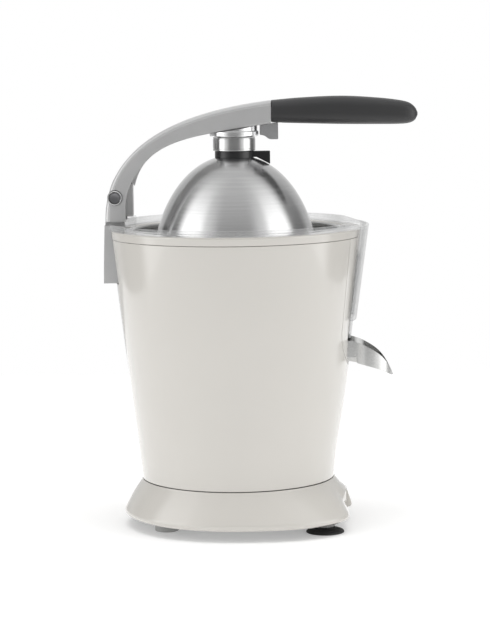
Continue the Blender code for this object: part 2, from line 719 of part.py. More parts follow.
def arm_section(t):
    """The arm across its length at t: flat faces, crowned outer edge, eased inner edge."""
    outer = Vector(bezier(ARM_OUTER_CURVE, t))
    inner = Vector(bezier(ARM_INNER_CURVE, t))
    depth = (outer - inner).length
    rows = (
        (0.0, ARM_HALF_WIDTH - 1.4), (1.2, ARM_HALF_WIDTH), (depth - 3.0, ARM_HALF_WIDTH),
        (depth - 1.0, ARM_HALF_WIDTH - 1.4), (depth, ARM_HALF_WIDTH - 3.6),
    )
    points = []
    for side, order in ((1, rows), (-1, tuple(reversed(rows)))):
        for up, y in order:
            place = inner + (outer - inner) * (up / depth)
            points.append((place.x, side * y, place.y))
    return points


def make_arm():
    steps = 16
    sections = [arm_section(i / steps) for i in range(steps + 1)]
    arm = part("arm", loft(sections), "cast_aluminium", "arm_hinge")
    cut(arm, box((-81.6, -60.0), (-20, 20), (220.0, 257.8)))
    cut(arm, rod("Y", (HINGE[0], HINGE[2]), SLOT_RADIUS, -CHEEK_INNER, CHEEK_INNER, 36))
    cut(arm, box((-110, -60), (-CHEEK_INNER, CHEEK_INNER), (220.0, 248.4)))
    cut(arm, rod("Y", (HINGE[0], HINGE[2]), 5.9, -30, 30, 24))
    fuse(arm, box((20.0, 118.0), (-5.0, 5.0), (306.5, 314.0)))
    cut(arm, box((19.8, 26.4), (-3.2, 3.2), (295.0, 310.0)))
    cut(arm, rod("Y", (TRIGGER_PIVOT[0], TRIGGER_PIVOT[2]), 1.5, -13.7, 13.7, TINY_ROUND))

    for side, y in (("near", (-14.9, -8.9)), ("far", (8.9, 14.9))):
        ring = rod("Y", (HINGE[0], HINGE[2]), 5.6, *y, 24)
        obj = part(f"pin_ring_{side}", ring, "brushed_steel", "arm_hinge")
        cut(obj, rod("Y", (HINGE[0], HINGE[2]), 4.65, -30, 30, 24))


# (x, lowest z, highest z, half width)
GRIP_STATIONS = (
    (27.9, 302.6, 319.2, 14.5), (50.0, 301.8, 320.9, 15.0), (81.0, 300.8, 321.8, 15.0),
    (108.0, 300.4, 320.1, 14.6), (124.4, 300.4, 318.0, 13.6), (131.5, 301.2, 316.0, 12.0),
    (135.4, 303.4, 312.7, 9.0), (GRIP_END, 306.6, 309.4, 5.0),
)


def grip_section(x, low, high, half):
    """A rounded rectangle with sixteen corners."""
    middle, rise = (low + high) / 2, (high - low) / 2
    points = []
    for k in range(16):
        angle = 2 * math.pi * (k + 0.5) / 16
        c, s = math.cos(angle), math.sin(angle)
        scale = 1 / (abs(c) ** 3.2 + abs(s) ** 3.2) ** (1 / 3.2)
        points.append((c * scale, s * scale))
    widest = max(p[0] for p in points)
    return [(x, half * c / widest, middle + rise * s / widest) for c, s in points]


def make_grip():
    grip = part("grip", loft([grip_section(*s) for s in GRIP_STATIONS]), "grip_rubber", "arm_hinge")
    cut(grip, box((20.0, 119.0), (-5.4, 5.4), (306.1, 314.4)))
    cut(grip, box((20.0, 36.0), (-6.7, 6.7), (290.0, 304.4)))


def make_trigger():
    blade = (
        (19.2, 300.7), (19.2, 293.6), (22.2, 293.1), (24.3, 291.7), (26.4, 290.4), (33.0, 290.2),
        (33.0, 302.4),
    )
    shank = ((27.4, 301.6), (25.3, 301.4), (25.3, 308.6), (20.5, 308.6), (20.5, 300.9))
    trigger = part("trigger", prism(blade + shank, "Y", -2.8, 2.8), "grey_plastic", "trigger_hinge")
    fuse(trigger, prism(blade, "Y", -6.0, 6.0))
    cut(trigger, rod("Y", (TRIGGER_PIVOT[0], TRIGGER_PIVOT[2]), 1.5, -30, 30, TINY_ROUND))
    pin = rod("Y", (TRIGGER_PIVOT[0], TRIGGER_PIVOT[2]), 1.15, -13.4, 13.4, TINY_ROUND)
    part("trigger_pin", pin, "motor_steel", "arm_hinge")


def dome_curve(radius, height):
    """The dome's outline from its rim up to the edge of its flat top."""
    steps, sharpness = 7, 2 / DOME_POWER
    start = math.asin(((DOME_BOTTOM - DOME_CENTRE_Z) / height) ** (1 / sharpness))
    end = math.acos((COLLAR_RADIUS / radius) ** (1 / sharpness))
    angles = [start + (end - start) * k / steps for k in range(steps)]
    return [
        (radius * math.cos(a) ** sharpness, DOME_CENTRE_Z + height * math.sin(a) ** sharpness)
        for a in angles
    ]


def dome_profile():
    outer = dome_curve(DOME_RADIUS, DOME_HEIGHT)
    inner = dome_curve(DOME_RADIUS - DOME_WALL, DOME_HEIGHT - DOME_WALL)
    roof = DOME_FLAT_TOP - DOME_WALL
    top = [(COLLAR_RADIUS, DOME_FLAT_TOP), (0, DOME_FLAT_TOP), (0, roof), (COLLAR_RADIUS, roof)]
    return [*outer, *top, *reversed(inner)]


def make_press_head():
    boss = part("arm_boss", rod("Z", (0, 0), 18.3, 292.5, 306.0, 32), "cast_aluminium", "arm_hinge")
    underside = [bezier(ARM_INNER_CURVE, t / 20) for t in range(0, 12)]
    outline = [(45.0, 305.4), *[(x, z - 0.35) for x, z in underside], (-60.0, 330.0), (45.0, 330.0)]
    cut(boss, prism(outline, "Y", -25, 25))
    part("steel_collar", rod("Z", (0, 0), 15.9, 282.0, 292.2, 32), "brushed_steel", "arm_hinge")
    disc = rod("Z", (0, 0), COLLAR_RADIUS, DOME_FLAT_TOP + 0.4, 281.7, 32)
    collar = part("dome_collar", disc, "black_plastic", "dome_axis")
    fin = ((9.0, 275.3), (16.4, 275.3), (26.8, 270.3), (26.8, 281.5), (9.0, 281.5))
    fuse(collar, prism(fin, "Y", -3.2, 3.2))
    part("press_dome", turned(dome_profile()), "brushed_steel", "dome_axis")


def build():
    clear_scene()
    make_materials()
    make_pivots()
    make_base()
    make_feet()
    make_power_rocker()
    make_housing()
    make_fascia()
    make_drive_deck()
    make_bowl()
    make_chute()
    make_splash_guard()
    make_spout()
    make_strainer()
    make_spindle()
    make_return_spring()
    make_idler()
    make_gearbox()
    make_motor()
    make_column()
    make_arm()
    make_grip()
    make_trigger()
    make_press_head()


build()
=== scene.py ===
"""The citrus press's finished surfaces, materials, studio and camera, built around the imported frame.

Shapes are drawn in millimetres about the axis of the machine's round body, with heights from the
floor, and are placed in the frame's metres when a piece is made.
"""

import math

import bmesh
import bpy
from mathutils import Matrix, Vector


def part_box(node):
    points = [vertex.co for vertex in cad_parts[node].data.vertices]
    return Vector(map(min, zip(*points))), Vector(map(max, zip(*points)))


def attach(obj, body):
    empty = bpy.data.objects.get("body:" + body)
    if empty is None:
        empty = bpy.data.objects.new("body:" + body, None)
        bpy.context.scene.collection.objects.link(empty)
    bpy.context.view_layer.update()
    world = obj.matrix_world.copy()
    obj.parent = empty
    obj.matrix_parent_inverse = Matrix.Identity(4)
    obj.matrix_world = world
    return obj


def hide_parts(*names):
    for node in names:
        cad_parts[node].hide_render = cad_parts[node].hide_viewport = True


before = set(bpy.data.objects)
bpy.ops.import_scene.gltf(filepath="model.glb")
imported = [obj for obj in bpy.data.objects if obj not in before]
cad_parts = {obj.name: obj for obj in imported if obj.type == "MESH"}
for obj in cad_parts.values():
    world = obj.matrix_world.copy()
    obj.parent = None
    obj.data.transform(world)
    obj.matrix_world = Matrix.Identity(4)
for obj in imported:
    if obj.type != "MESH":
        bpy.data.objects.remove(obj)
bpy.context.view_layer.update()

MM = 0.001
GAP = 0.3
FINE = 192
MEDIUM = 96
SMALL = 48
TINY = 24
EDGE_ANGLE = math.radians(32)


# ---------------- places taken from the frame

AXIS_X = sum(corner.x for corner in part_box("press_dome")) / 2 / MM
AXIS = Vector((AXIS_X, 0, 0))


def span(node):
    """A CAD node's lowest and highest corners in millimetres, about the machine's own axis."""
    return tuple(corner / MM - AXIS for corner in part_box(node))


def centre(node):
    low, high = span(node)
    return (low + high) / 2


HOUSING_LOW, HOUSING_HIGH = span("housing")
BAND_LOW, BAND_HIGH = span("top_band")
SKIRT_LOW, SKIRT_HIGH = span("base_skirt")
DOME_LOW = span("press_dome")[0]
COLUMN_LOW, COLUMN_HIGH = span("hinge_column")
GRIP_LOW, GRIP_HIGH = span("grip")
SHIELD_LOW, SHIELD_HIGH = span("splash_guard")
HINGE = centre("hinge_pin")
SPOUT_PIVOT = centre("spout_pin")
TRIGGER_PIVOT = centre("trigger_pin")

BODY_TAPER = 0.1157
SEAM_RADIUS = BAND_HIGH.y - 0.7 - BODY_TAPER * (BAND_LOW.z - SKIRT_HIGH.z - GAP)

# Places beyond the machine's faces, for cutters that pass right through.
ACROSS = (-30, 30)
AHEAD = (60.0, 110.0)
BEHIND = (-110, -70)


# ---------------- mesh tools


def loft(rings, cyclic=False):
    """A solid skinned over closed rings of points; cyclic joins the last ring to the first."""
    bm = bmesh.new()
    rows = [[bm.verts.new(point) for point in ring] for ring in rings]
    count = len(rows[0])
    pairs = list(zip(rows, rows[1:]))
    if cyclic:
        pairs.append((rows[-1], rows[0]))
    else:
        bm.faces.new(rows[0])
        bm.faces.new(rows[-1])
    for low, high in pairs:
        for i in range(count):
            j = (i + 1) % count
            bm.faces.new((low[i], low[j], high[j], high[i]))
    bmesh.ops.remove_doubles(bm, verts=bm.verts, dist=1e-4)
    bmesh.ops.recalc_face_normals(bm, faces=bm.faces)
    return bm


def prism(outline, axis, low, high):
    """An outline drawn across an axis, extruded along it."""
    lift = {
        "X": lambda a, b, h: (h, a, b),
        "Y": lambda a, b, h: (a, h, b),
        "Z": lambda a, b, h: (a, b, h),
    }[axis]
    return loft([[lift(a, b, h) for a, b in outline] for h in (low, high)])


def steps(low, high, count):
    return [low + (high - low) * i / count for i in range(count + 1)]


def arc(middle, radius, start, end, count):
    """Points round a circle between two angles in radians."""
    return [
        (middle[0] + radius * math.cos(a), middle[1] + radius * math.sin(a)) for a in steps(start, end, count)
    ]


def rod(axis, middle, radius, low, high, sides=SMALL):
    return prism(arc(middle, radius, 0.0, 2 * math.pi, sides)[:-1], axis, low, high)


def box(x, y, z):
    return prism(((x[0], y[0]), (x[1], y[0]), (x[1], y[1]), (x[0], y[1])), "Z", z[0], z[1])


def turned(profile, sides=FINE, first=0.0, last=360.0, middle=(0.0, 0.0)):
    """A closed (radius, height) profile turned about a vertical axis. It may be a function of the angle."""
    whole = last - first >= 360.0
    rings = []
    for i in range(sides if whole else sides + 1):
        angle = math.radians(first + (last - first) * i / sides)
        points = profile(angle) if callable(profile) else profile
        rings.append(
            [(middle[0] + r * math.cos(angle), middle[1] + r * math.sin(angle), z) for r, z in points]
        )
    return loft(rings, cyclic=whole)


def lathe(axis, middle, profile, sides=SMALL):
    """A (radius, place) profile turned about X or Y through middle, given as the other two places."""
    lift = {"X": lambda a, b, h: (h, a, b), "Y": lambda a, b, h: (a, h, b)}[axis]
    rings = []
    for i in range(sides):
        angle = 2 * math.pi * i / sides
        c, s = math.cos(angle), math.sin(angle)
        rings.append([lift(middle[0] + r * c, middle[1] + r * s, h) for r, h in profile])
    return loft(rings, cyclic=True)


def joined(shapes):
    """Several separate shapes in one mesh, for a cutter with many teeth."""
    whole = bmesh.new()
    for shape in shapes:
        mesh = bpy.data.meshes.new("shape")
        shape.to_mesh(mesh)
        shape.free()
        whole.from_mesh(mesh)
        bpy.data.meshes.remove(mesh)
    return whole


def spline(table, at):
    """A smooth curve through a short table of (place, value) pairs."""
    if at <= table[0][0]:
        return table[0][1]
    if at >= table[-1][0]:
        return table[-1][1]
    slopes = []
    for i in range(len(table)):
        a, b = table[max(i - 1, 0)], table[min(i + 1, len(table) - 1)]
        slopes.append((b[1] - a[1]) / (b[0] - a[0]))
    for i in range(len(table) - 1):
        (a, low), (b, high) = table[i], table[i + 1]
        if at <= b:
            width = b - a
            t = (at - a) / width
            lead, tail = slopes[i] * width, slopes[i + 1] * width
            return (
                (2 * t**3 - 3 * t**2 + 1) * low + (t**3 - 2 * t**2 + t) * lead
                + (3 * t**2 - 2 * t**3) * high + (t**3 - t**2) * tail
            )


def smoothstep(t):
    t = min(max(t, 0.0), 1.0)
    return t * t * (3 - 2 * t)


def bezier(curve, t):
    weights = ((1 - t) ** 3, 3 * (1 - t) ** 2 * t, 3 * (1 - t) * t**2, t**3)
    return tuple(sum(w * p[k] for w, p in zip(weights, curve)) for k in (0, 1))


def round_corner(corner, start, end, radius, count=5):
    """Points of an arc that eases the corner between two square directions, from start to end."""
    cx, cy = corner[0] - radius * (start[0] + end[0]), corner[1] - radius * (start[1] + end[1])
    points = []
    for i in range(count + 1):
        angle = math.pi / 2 * i / count
        c, s = math.cos(angle), math.sin(angle)
        points.append((cx + radius * (start[0] * c + end[0] * s), cy + radius * (start[1] * c + end[1] * s)))
    return points


def lower_corner(outer, z, ease, count=5):
    """The eased outer corner at the bottom of a profile."""
    return round_corner((outer, z), (0, -1), (1, 0), ease, count)


def upper_corner(outer, z, ease, count=5):
    """The eased outer corner at the top of a profile."""
    return round_corner((outer, z), (1, 0), (0, 1), ease, count)


def disc_profile(outer, low, high, ease):
    """The profile of a plain round bar with eased corners, closed on the axis."""
    return [(0.0, low), *lower_corner(outer, low, ease), *upper_corner(outer, high, ease), (0.0, high)]


# ---------------- pieces


def add_object(name, data):
    obj = bpy.data.objects.new(name, data)
    bpy.context.scene.collection.objects.link(obj)
    return obj


def draw(name, bm):
    """A mesh object in the frame's metres from a shape in millimetres."""
    for vert in bm.verts:
        vert.co = (vert.co + AXIS) * MM
    mesh = bpy.data.meshes.new(name)
    bm.to_mesh(mesh)
    bm.free()
    return add_object(name, mesh)


def taken(obj):
    """The shape of a drawn object, back in millimetres; the object itself goes."""
    bm = bmesh.new()
    bm.from_mesh(obj.data)
    for vert in bm.verts:
        vert.co = vert.co / MM - AXIS
    bpy.data.objects.remove(obj, do_unlink=True)
    return bm


def bake(obj):
    """Applies the object's modifiers to its mesh."""
    graph = bpy.context.evaluated_depsgraph_get()
    mesh = bpy.data.meshes.new_from_object(obj.evaluated_get(graph))
    obj.modifiers.clear()
    spent = obj.data
    obj.data = mesh
    bpy.data.meshes.remove(spent)


def combine(obj, bm, operation):
    helper = draw("helper", bm)
    modifier = obj.modifiers.new("combine", "BOOLEAN")
    modifier.operation = operation
    modifier.solver = "EXACT"
    modifier.object = helper
    bake(obj)
    bpy.data.objects.remove(helper, do_unlink=True)


def cut(obj, bm):
    combine(obj, bm, "DIFFERENCE")


def fuse(obj, bm):
    combine(obj, bm, "UNION")


def keep(obj, bm):
    combine(obj, bm, "INTERSECT")


def ease_edges(obj, width, segments=2):
    """Rounds the sharp edges by width, in millimetres."""
    bevel = obj.modifiers.new("bevel", "BEVEL")
    bevel.width = width * MM
    bevel.segments = segments
    bevel.limit_method = "ANGLE"
    bevel.angle_limit = EDGE_ANGLE
    bevel.use_clamp_overlap = True
    bake(obj)


def finish_piece(obj, body, slot, material, *nodes):
    """Shades the piece, gives it its material and puts it in the place of its CAD nodes."""
    obj.data.materials.clear()
    obj.data.materials.append(MATERIALS[material])
    obj.data.shade_smooth()
    obj.data.set_sharp_from_angle(angle=EDGE_ANGLE)
    weighted = obj.modifiers.new("weighted", "WEIGHTED_NORMAL")
    weighted.keep_sharp = True
    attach(obj, body)
    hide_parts(*nodes)


# ---------------- materials


NOISE_RANGE = (0.3, 0.7)


def shader_of(made):
    return made.node_tree.nodes["Principled BSDF"]


def new_material(name, colour, roughness, metallic=0.0, **sockets):
    """A Principled material; extra sockets are named with underscores, such as coat_weight."""
    made = bpy.data.materials.new(name)
    made.use_nodes = True
    shader = shader_of(made)
    shader.inputs["Base Color"].default_value = (*colour, 1.0)
    shader.inputs["Roughness"].default_value = roughness
    shader.inputs["Metallic"].default_value = metallic
    for socket, value in sockets.items():
        shader.inputs[socket.replace("_", " ").title().replace("Ior", "IOR")].default_value = value
    return made


def node(made, kind, **settings):
    """A new node of a material or a world; a setting is an input's value or a property."""
    added = made.node_tree.nodes.new(kind)
    for key, value in settings.items():
        if key in added.inputs:
            added.inputs[key].default_value = value
        else:
            setattr(added, key, value)
    return added


def link(made, start, end):
    made.node_tree.links.new(start, end)


def noise(made, scale, detail=3.0, stretch=(1.0, 1.0, 1.0)):
    """A noise of the given number of features per metre, stretched along the object's axes."""
    place = node(made, "ShaderNodeTexCoord")
    mapping = node(made, "ShaderNodeMapping", Scale=stretch)
    texture = node(made, "ShaderNodeTexNoise", Scale=scale, Detail=detail)
    link(made, place.outputs["Object"], mapping.inputs["Vector"])
    link(made, mapping.outputs["Vector"], texture.inputs["Vector"])
    return texture.outputs["Fac"]


def vary_colour(made, signal, darker, lighter):
    """The base colour runs between two colours as the signal goes from low to high."""
    ramp = node(made, "ShaderNodeValToRGB")
    for element, position, colour in zip(ramp.color_ramp.elements, NOISE_RANGE, (darker, lighter)):
        element.position = position
        element.color = (*colour, 1.0)
    link(made, signal, ramp.inputs["Fac"])
    link(made, ramp.outputs["Color"], shader_of(made).inputs["Base Color"])


def spread(made, signal, given, wanted, socket):
    """Runs a signal's given range over the wanted one, into a socket of the shader."""
    mapped = node(made, "ShaderNodeMapRange")
    for key, value in zip(("From Min", "From Max", "To Min", "To Max"), (*given, *wanted)):
        mapped.inputs[key].default_value = value
    link(made, signal, mapped.inputs["Value"])
    link(made, mapped.outputs["Result"], shader_of(made).inputs[socket])


def vary_roughness(made, signal, low, high):
    spread(made, signal, NOISE_RANGE, (low, high), "Roughness")


def bump(made, signal, strength, depth):
    """Relief of the given depth in millimetres."""
    relief = node(made, "ShaderNodeBump", Strength=strength, Distance=depth * MM)
    link(made, signal, relief.inputs["Height"])
    link(made, relief.outputs["Normal"], shader_of(made).inputs["Normal"])


def shade(colour, factor):
    return tuple(min(1.0, channel * factor) for channel in colour)


def moulded(name, colour, roughness, grain, depth, mottling, **sockets):
    """Moulded plastic, rubber or lacquer: faint mottling and a fine skin."""
    made = new_material(name, colour, roughness, **sockets)
    vary_colour(made, noise(made, 14.0), shade(colour, 1 - mottling), shade(colour, 1 + mottling))
    skin = noise(made, grain, 4.0)
    vary_roughness(made, skin, roughness * 0.9, roughness * 1.1)
    bump(made, skin, 0.35, depth)
    return made


def turned_metal(name, colour, roughness, lines, anisotropic=0.0, depth=0.012):
    """Metal with fine lines running round a vertical axis."""
    made = new_material(name, colour, roughness, 1.0, anisotropic=anisotropic, anisotropic_rotation=0.25)
    rings = noise(made, 1.0, 2.0, (18.0, 18.0, lines))
    vary_colour(made, rings, shade(colour, 0.94), shade(colour, 1.05))
    vary_roughness(made, rings, roughness * 0.85, roughness * 1.2)
    bump(made, rings, 0.2, depth)
    if anisotropic:
        tangent = node(made, "ShaderNodeTangent", direction_type="RADIAL", axis="Z")
        link(made, tangent.outputs["Tangent"], shader_of(made).inputs["Tangent"])
    return made


def satin_metal(name, colour, roughness, grain=2200.0, depth=0.01, metallic=1.0):
    """Blasted or plain metal with an even fine grain."""
    made = new_material(name, colour, roughness, metallic)
    vary_colour(made, noise(made, 30.0), shade(colour, 0.96), shade(colour, 1.04))
    skin = noise(made, grain, 4.0)
    vary_roughness(made, skin, roughness * 0.88, roughness * 1.12)
    bump(made, skin, 0.3, depth)
    return made


def clear_plastic(name, tint, roughness, facing, edge):
    """Thin clear moulding: nearly invisible face on, and greyer and glossier where it is seen at a slant."""
    made = new_material(name, tint, roughness, coat_weight=1.0, coat_roughness=0.02)
    vary_roughness(made, noise(made, 300.0), roughness * 0.7, roughness * 1.3)
    slant = node(made, "ShaderNodeLayerWeight", Blend=0.35)
    spread(made, slant.outputs["Facing"], (0.0, 1.0), (facing, edge), "Alpha")
    return made


IVORY = (0.660, 0.637, 0.594)

MATERIALS = {
    "ivory": moulded("ivory_lacquer", IVORY, 0.12, 500.0, 0.002, 0.01, coat_weight=0.8, coat_roughness=0.04),
    "aluminium": satin_metal("satin_aluminium", (0.62, 0.62, 0.62), 0.40, metallic=0.55),
    "machined": turned_metal("machined_aluminium", (0.86, 0.86, 0.86), 0.24, 5200.0, 0.5),
    "dome_steel": turned_metal("spun_steel", (0.74, 0.74, 0.74), 0.22, 2600.0, 0.75, 0.002),
    "collar_steel": turned_metal("turned_steel", (0.62, 0.62, 0.62), 0.2, 6000.0, 0.5),
    "bowl_steel": turned_metal("bowl_steel", (0.66, 0.66, 0.65), 0.26, 1500.0),
    "spout_steel": satin_metal("spout_steel", (0.66, 0.66, 0.65), 0.26, 1600.0, 0.006),
    "pin_steel": satin_metal("pin_steel", (0.28, 0.28, 0.29), 0.34, 1800.0),
    "bright_steel": satin_metal("bright_steel", (0.80, 0.80, 0.80), 0.16, 1800.0, 0.004),
    "machine_steel": satin_metal("machine_steel", (0.42, 0.43, 0.45), 0.34, 1500.0),
    "clear": clear_plastic("clear_guard", (0.50, 0.505, 0.505), 0.06, 0.12, 0.62),
    "black": moulded("black_gloss", (0.022, 0.022, 0.023), 0.24, 900.0, 0.001, 0.1),
    "cone": moulded("cone_plastic", (0.028, 0.028, 0.029), 0.34, 900.0, 0.006, 0.1),
    "rubber": moulded("foot_rubber", (0.022, 0.022, 0.022), 0.6, 1500.0, 0.02, 0.15),
    "grip": moulded("soft_grip", (0.036, 0.036, 0.037), 0.46, 2600.0, 0.03, 0.06),
    "grey": moulded("grey_moulding", (0.42, 0.42, 0.41), 0.45, 1200.0, 0.012, 0.04),
    "trigger": satin_metal("trigger_metal", (0.60, 0.60, 0.61), 0.3, 1800.0, 0.004, 0.8),
    "nylon": moulded("gear_nylon", (0.78, 0.76, 0.68), 0.42, 1200.0, 0.01, 0.03),
    "bronze": satin_metal("sintered_bronze", (0.48, 0.33, 0.17), 0.45, 3000.0, 0.02),
    "copper": satin_metal("wound_copper", (0.62, 0.27, 0.14), 0.35, 1400.0, 0.05),
}


# ---------------- base

SKIRT_NECK = 72.7
SKIRT_FLARE = ((8.2, 0.80), (9.6, 0.95), (12.0, 1.0), (14.7, 0.92), (25.0, 0.5), (35.4, 0.0))
HOOD = ((8.2, 82.2), (12.0, 82.6), (20.5, 82.6), (25.0, 81.6), (29.0, 77.6), (35.4, SKIRT_NECK))
HOOD_EDGE = 22.0
HOOD_FADE = 8.0
FOOT_DEPTH = 84.0
FOOT_REAR = 3.0
FOOT_SWELL = 13.0
FOOT_FRONT = 82.6
CORNER_SHARPNESS = 40
SKIRT_WALL = 2.8


def foot_radius(angle):
    """The foot's widest outline: round behind, swelling to two soft corners, and flat across the front."""
    ahead = math.cos(angle)
    if ahead <= 0.01:
        return FOOT_DEPTH + FOOT_REAR * ahead**2
    swollen = FOOT_DEPTH + FOOT_SWELL * smoothstep(ahead / 0.9)
    share = (swollen * ahead / FOOT_FRONT) ** CORNER_SHARPNESS
    return swollen / (1 + share) ** (1 / CORNER_SHARPNESS)


def skirt_radius(angle, z):
    """Straight flanks from the round neck out to the foot, with a hood over the rocker."""
    flank = SKIRT_NECK + (foot_radius(angle) - SKIRT_NECK) * spline(SKIRT_FLARE, z)
    turn = abs(math.degrees(math.atan2(math.sin(angle), math.cos(angle))))
    hood = smoothstep((HOOD_EDGE - turn) / HOOD_FADE)
    return flank + (max(flank, spline(HOOD, z)) - flank) * hood


def skirt_profile(angle):
    bottom, top = SKIRT_LOW.z, SKIRT_HIGH.z
    levels = steps(bottom + 0.3, top - 0.7, 34)
    foot = skirt_radius(angle, bottom + 0.3)
    edge = [(foot - 0.8, bottom), (foot - 0.3, bottom + 0.1)]
    outer = [(skirt_radius(angle, z), z) for z in levels]
    shoulder = skirt_radius(angle, top - 0.7)
    lip = [
        (shoulder - 0.12, top - 0.25), (shoulder - 0.35, top), (shoulder - 0.8, top),
        (shoulder - 1.0, top - 1.2), (66.0, top - 1.2), (66.0, top - 3.0),
    ]
    inner = [(skirt_radius(angle, z) - SKIRT_WALL, z) for z in steps(31.8, bottom + 0.8, 8)]
    return edge + outer + lip + inner


def make_base():
    low, high = span("power_rocker")
    skirt = draw("skirt_moulding", turned(skirt_profile))
    cut(skirt, box((70, 90), (low.y - 0.4, high.y + 0.4), (low.z - 0.5, high.z + 0.5)))
    finish_piece(skirt, "base", "ivory_gloss", "ivory", "base_skirt")

    outline = ((76.5, low.z), *lower_corner(high.x - 1.0, low.z, 0.8, 3))
    crown = ((high.x, low.z + 1.5), (high.x - 0.4, low.z + 4.0), (high.x - 1.9, low.z + 8.7))
    top = ((high.x - 3.3, high.z - 0.3), (high.x - 3.6, high.z), (80.5, high.z), (77.0, 23.4), (76.5, 21.0))
    rocker = draw("rocker_cap", prism((*outline, *crown, *top), "Y", low.y, high.y))
    ease_edges(rocker, 0.5)
    finish_piece(rocker, "rocker", "ivory_gloss", "ivory", "power_rocker")


def make_underside():
    """The bottom plate with its vents and screws, and the cord's grommet."""
    low, high = span("base_plate")
    outline = []
    for i in range(MEDIUM):
        angle = 2 * math.pi * i / MEDIUM
        reach = skirt_radius(angle, SKIRT_LOW.z) - SKIRT_WALL - 0.5
        outline.append((reach * math.cos(angle), reach * math.sin(angle)))
    plate = draw("bottom_plate", prism(outline, "Z", low.z, high.z))
    screws = [f"base_screw_{number}" for number in (1, 2, 3, 4)]
    inlet, through = centre("cord_inlet"), (5, 15)
    holes = [rod("Z", centre(name).xy, 2.3, *through, TINY) for name in screws]
    holes.append(rod("Z", inlet.xy, 6.8, *through))
    for y in (-16, -8, 0, 8, 16):
        slot = arc((-20.4, y), 1.6, math.pi / 2, 3 * math.pi / 2, 8)
        slot += arc((20.4, y), 1.6, -math.pi / 2, math.pi / 2, 8)
        holes.append(prism(slot, "Z", *through))
    cut(plate, joined(holes))
    ease_edges(plate, 0.3)
    finish_piece(plate, "base", "grey_plastic", "grey", "base_plate")

    for name in screws:
        low, high = span(name)
        middle = centre(name).xy
        head = turned(disc_profile(3.6, low.z, 8.7, 0.5), SMALL, middle=middle)
        screw = draw(f"{name}_detail", head)
        fuse(screw, turned(disc_profile(1.8, 8.0, high.z, 0.5), TINY, middle=middle))
        x, y = middle
        for long, wide in ((1.7, 0.35), (0.35, 1.7)):
            cut(screw, box((x - long, x + long), (y - wide, y + wide), (5, low.z + 0.8)))
        finish_piece(screw, "base", "machine_steel", "machine_steel", name)

    low, high = span("cord_inlet")
    bush = (
        lower_corner(8.4, low.z, 0.6, 4) + upper_corner(8.4, 8.7, 0.4, 3)
        + [(6.4, 8.7), (6.4, 11.8)] + lower_corner(8.4, 11.8, 0.4, 3)
        + upper_corner(8.4, 13.3, 0.5, 3) + [(6.4, 13.3)]
        + upper_corner(5.8, high.z, 0.6, 4) + [(3.6, high.z), (3.6, low.z)]
    )
    grommet = draw("cord_grommet", turned(bush, SMALL, middle=inlet.xy))
    finish_piece(grommet, "base", "black_plastic", "rubber", "cord_inlet")


def upright(name):
    """An upright round node's lowest and highest corners, its middle seen from above and its radius."""
    low, high = span(name)
    return low, high, ((low + high) / 2).xy, (high.x - low.x) / 2


def make_feet():
    for side in ("near", "far"):
        low, high, middle, radius = upright(f"rear_foot_{side}")
        profile = [
            (0, low.z + 0.4), (radius - 3.2, low.z + 0.4), (radius - 2.8, low.z),
            *lower_corner(radius, low.z, 0.9), (radius, high.z - 1.6),
            *upper_corner(radius - 0.5, high.z, 0.6), (0, high.z),
        ]
        foot = draw(f"rear_pad_{side}", turned(profile, SMALL, middle=middle))
        finish_piece(foot, "base", "grey_plastic", "grey", f"rear_foot_{side}")

        low, high, middle, radius = upright(f"suction_cup_{side}")
        profile = [
            (0, 1.6), (6.0, 1.5), (9.0, 1.1), (11.0, 0.6), (radius - 2.0, low.z), (radius - 0.5, low.z),
            (radius - 0.05, 0.25), (radius, 0.7), (radius - 0.3, 1.2), (radius - 1.0, 1.9), (11.0, 2.7),
            (8.6, 3.0), (8.0, 3.5), (7.4, high.z), (0, high.z),
        ]
        cup = draw(f"suction_disc_{side}", turned(profile, MEDIUM, middle=middle))
        finish_piece(cup, "base", "suction_rubber", "rubber", f"suction_cup_{side}")

        low, high, middle, radius = upright(f"suction_stem_{side}")
        profile = [
            (0, low.z), (6.2, low.z), (6.9, low.z + 0.5), (radius - 0.4, 5.8), (radius, 6.8),
            *upper_corner(radius, high.z, 0.5), (0, high.z),
        ]
        stem = draw(f"suction_neck_{side}", turned(profile, SMALL, middle=middle))
        finish_piece(stem, "base", "grey_plastic", "grey", f"suction_stem_{side}")


# ---------------- body

FASCIA_WAIST_Z = 152.0
FASCIA_HALF_WIDTH = 35.6
FASCIA_DROP = 33.0
FASCIA_SPREAD = 0.0694
FASCIA_TOP = 230.0
COLUMN_CLEARANCE = 0.4
BODY_WALL = 2.4
CHIN_PEAK_Z = 110.0


def chin(z):
    """The soft swell low on the front, a raised cosine either side of its peak."""
    reach = 63.0 if z < CHIN_PEAK_Z else 40.0
    away = min(1.0, abs(z - CHIN_PEAK_Z) / reach)
    return 2.3 * (0.5 + 0.5 * math.cos(math.pi * away))


def body_radius(z, angle=math.pi):
    swell = max(0.0, math.cos(2 * angle)) ** 2 if math.cos(angle) > 0 else 0.0
    return SEAM_RADIUS + BODY_TAPER * (z - SKIRT_HIGH.z - GAP) + chin(z) * swell


def body_profile(angle):
    bottom, top = HOUSING_LOW.z, HOUSING_HIGH.z
    edge = [(body_radius(bottom, angle) - 0.5, bottom), (body_radius(bottom, angle) - 0.12, bottom + 0.15)]
    outer = [(body_radius(z, angle), z) for z in steps(bottom + 0.5, top - 0.3, 40)]
    lip = [(body_radius(top, angle) - 0.3, top)]
    inner = [(body_radius(z, angle) - BODY_WALL, z) for z in steps(top, 38.3, 12)]
    return edge + outer + lip + inner + [(62.0, 38.3), (62.0, bottom)]


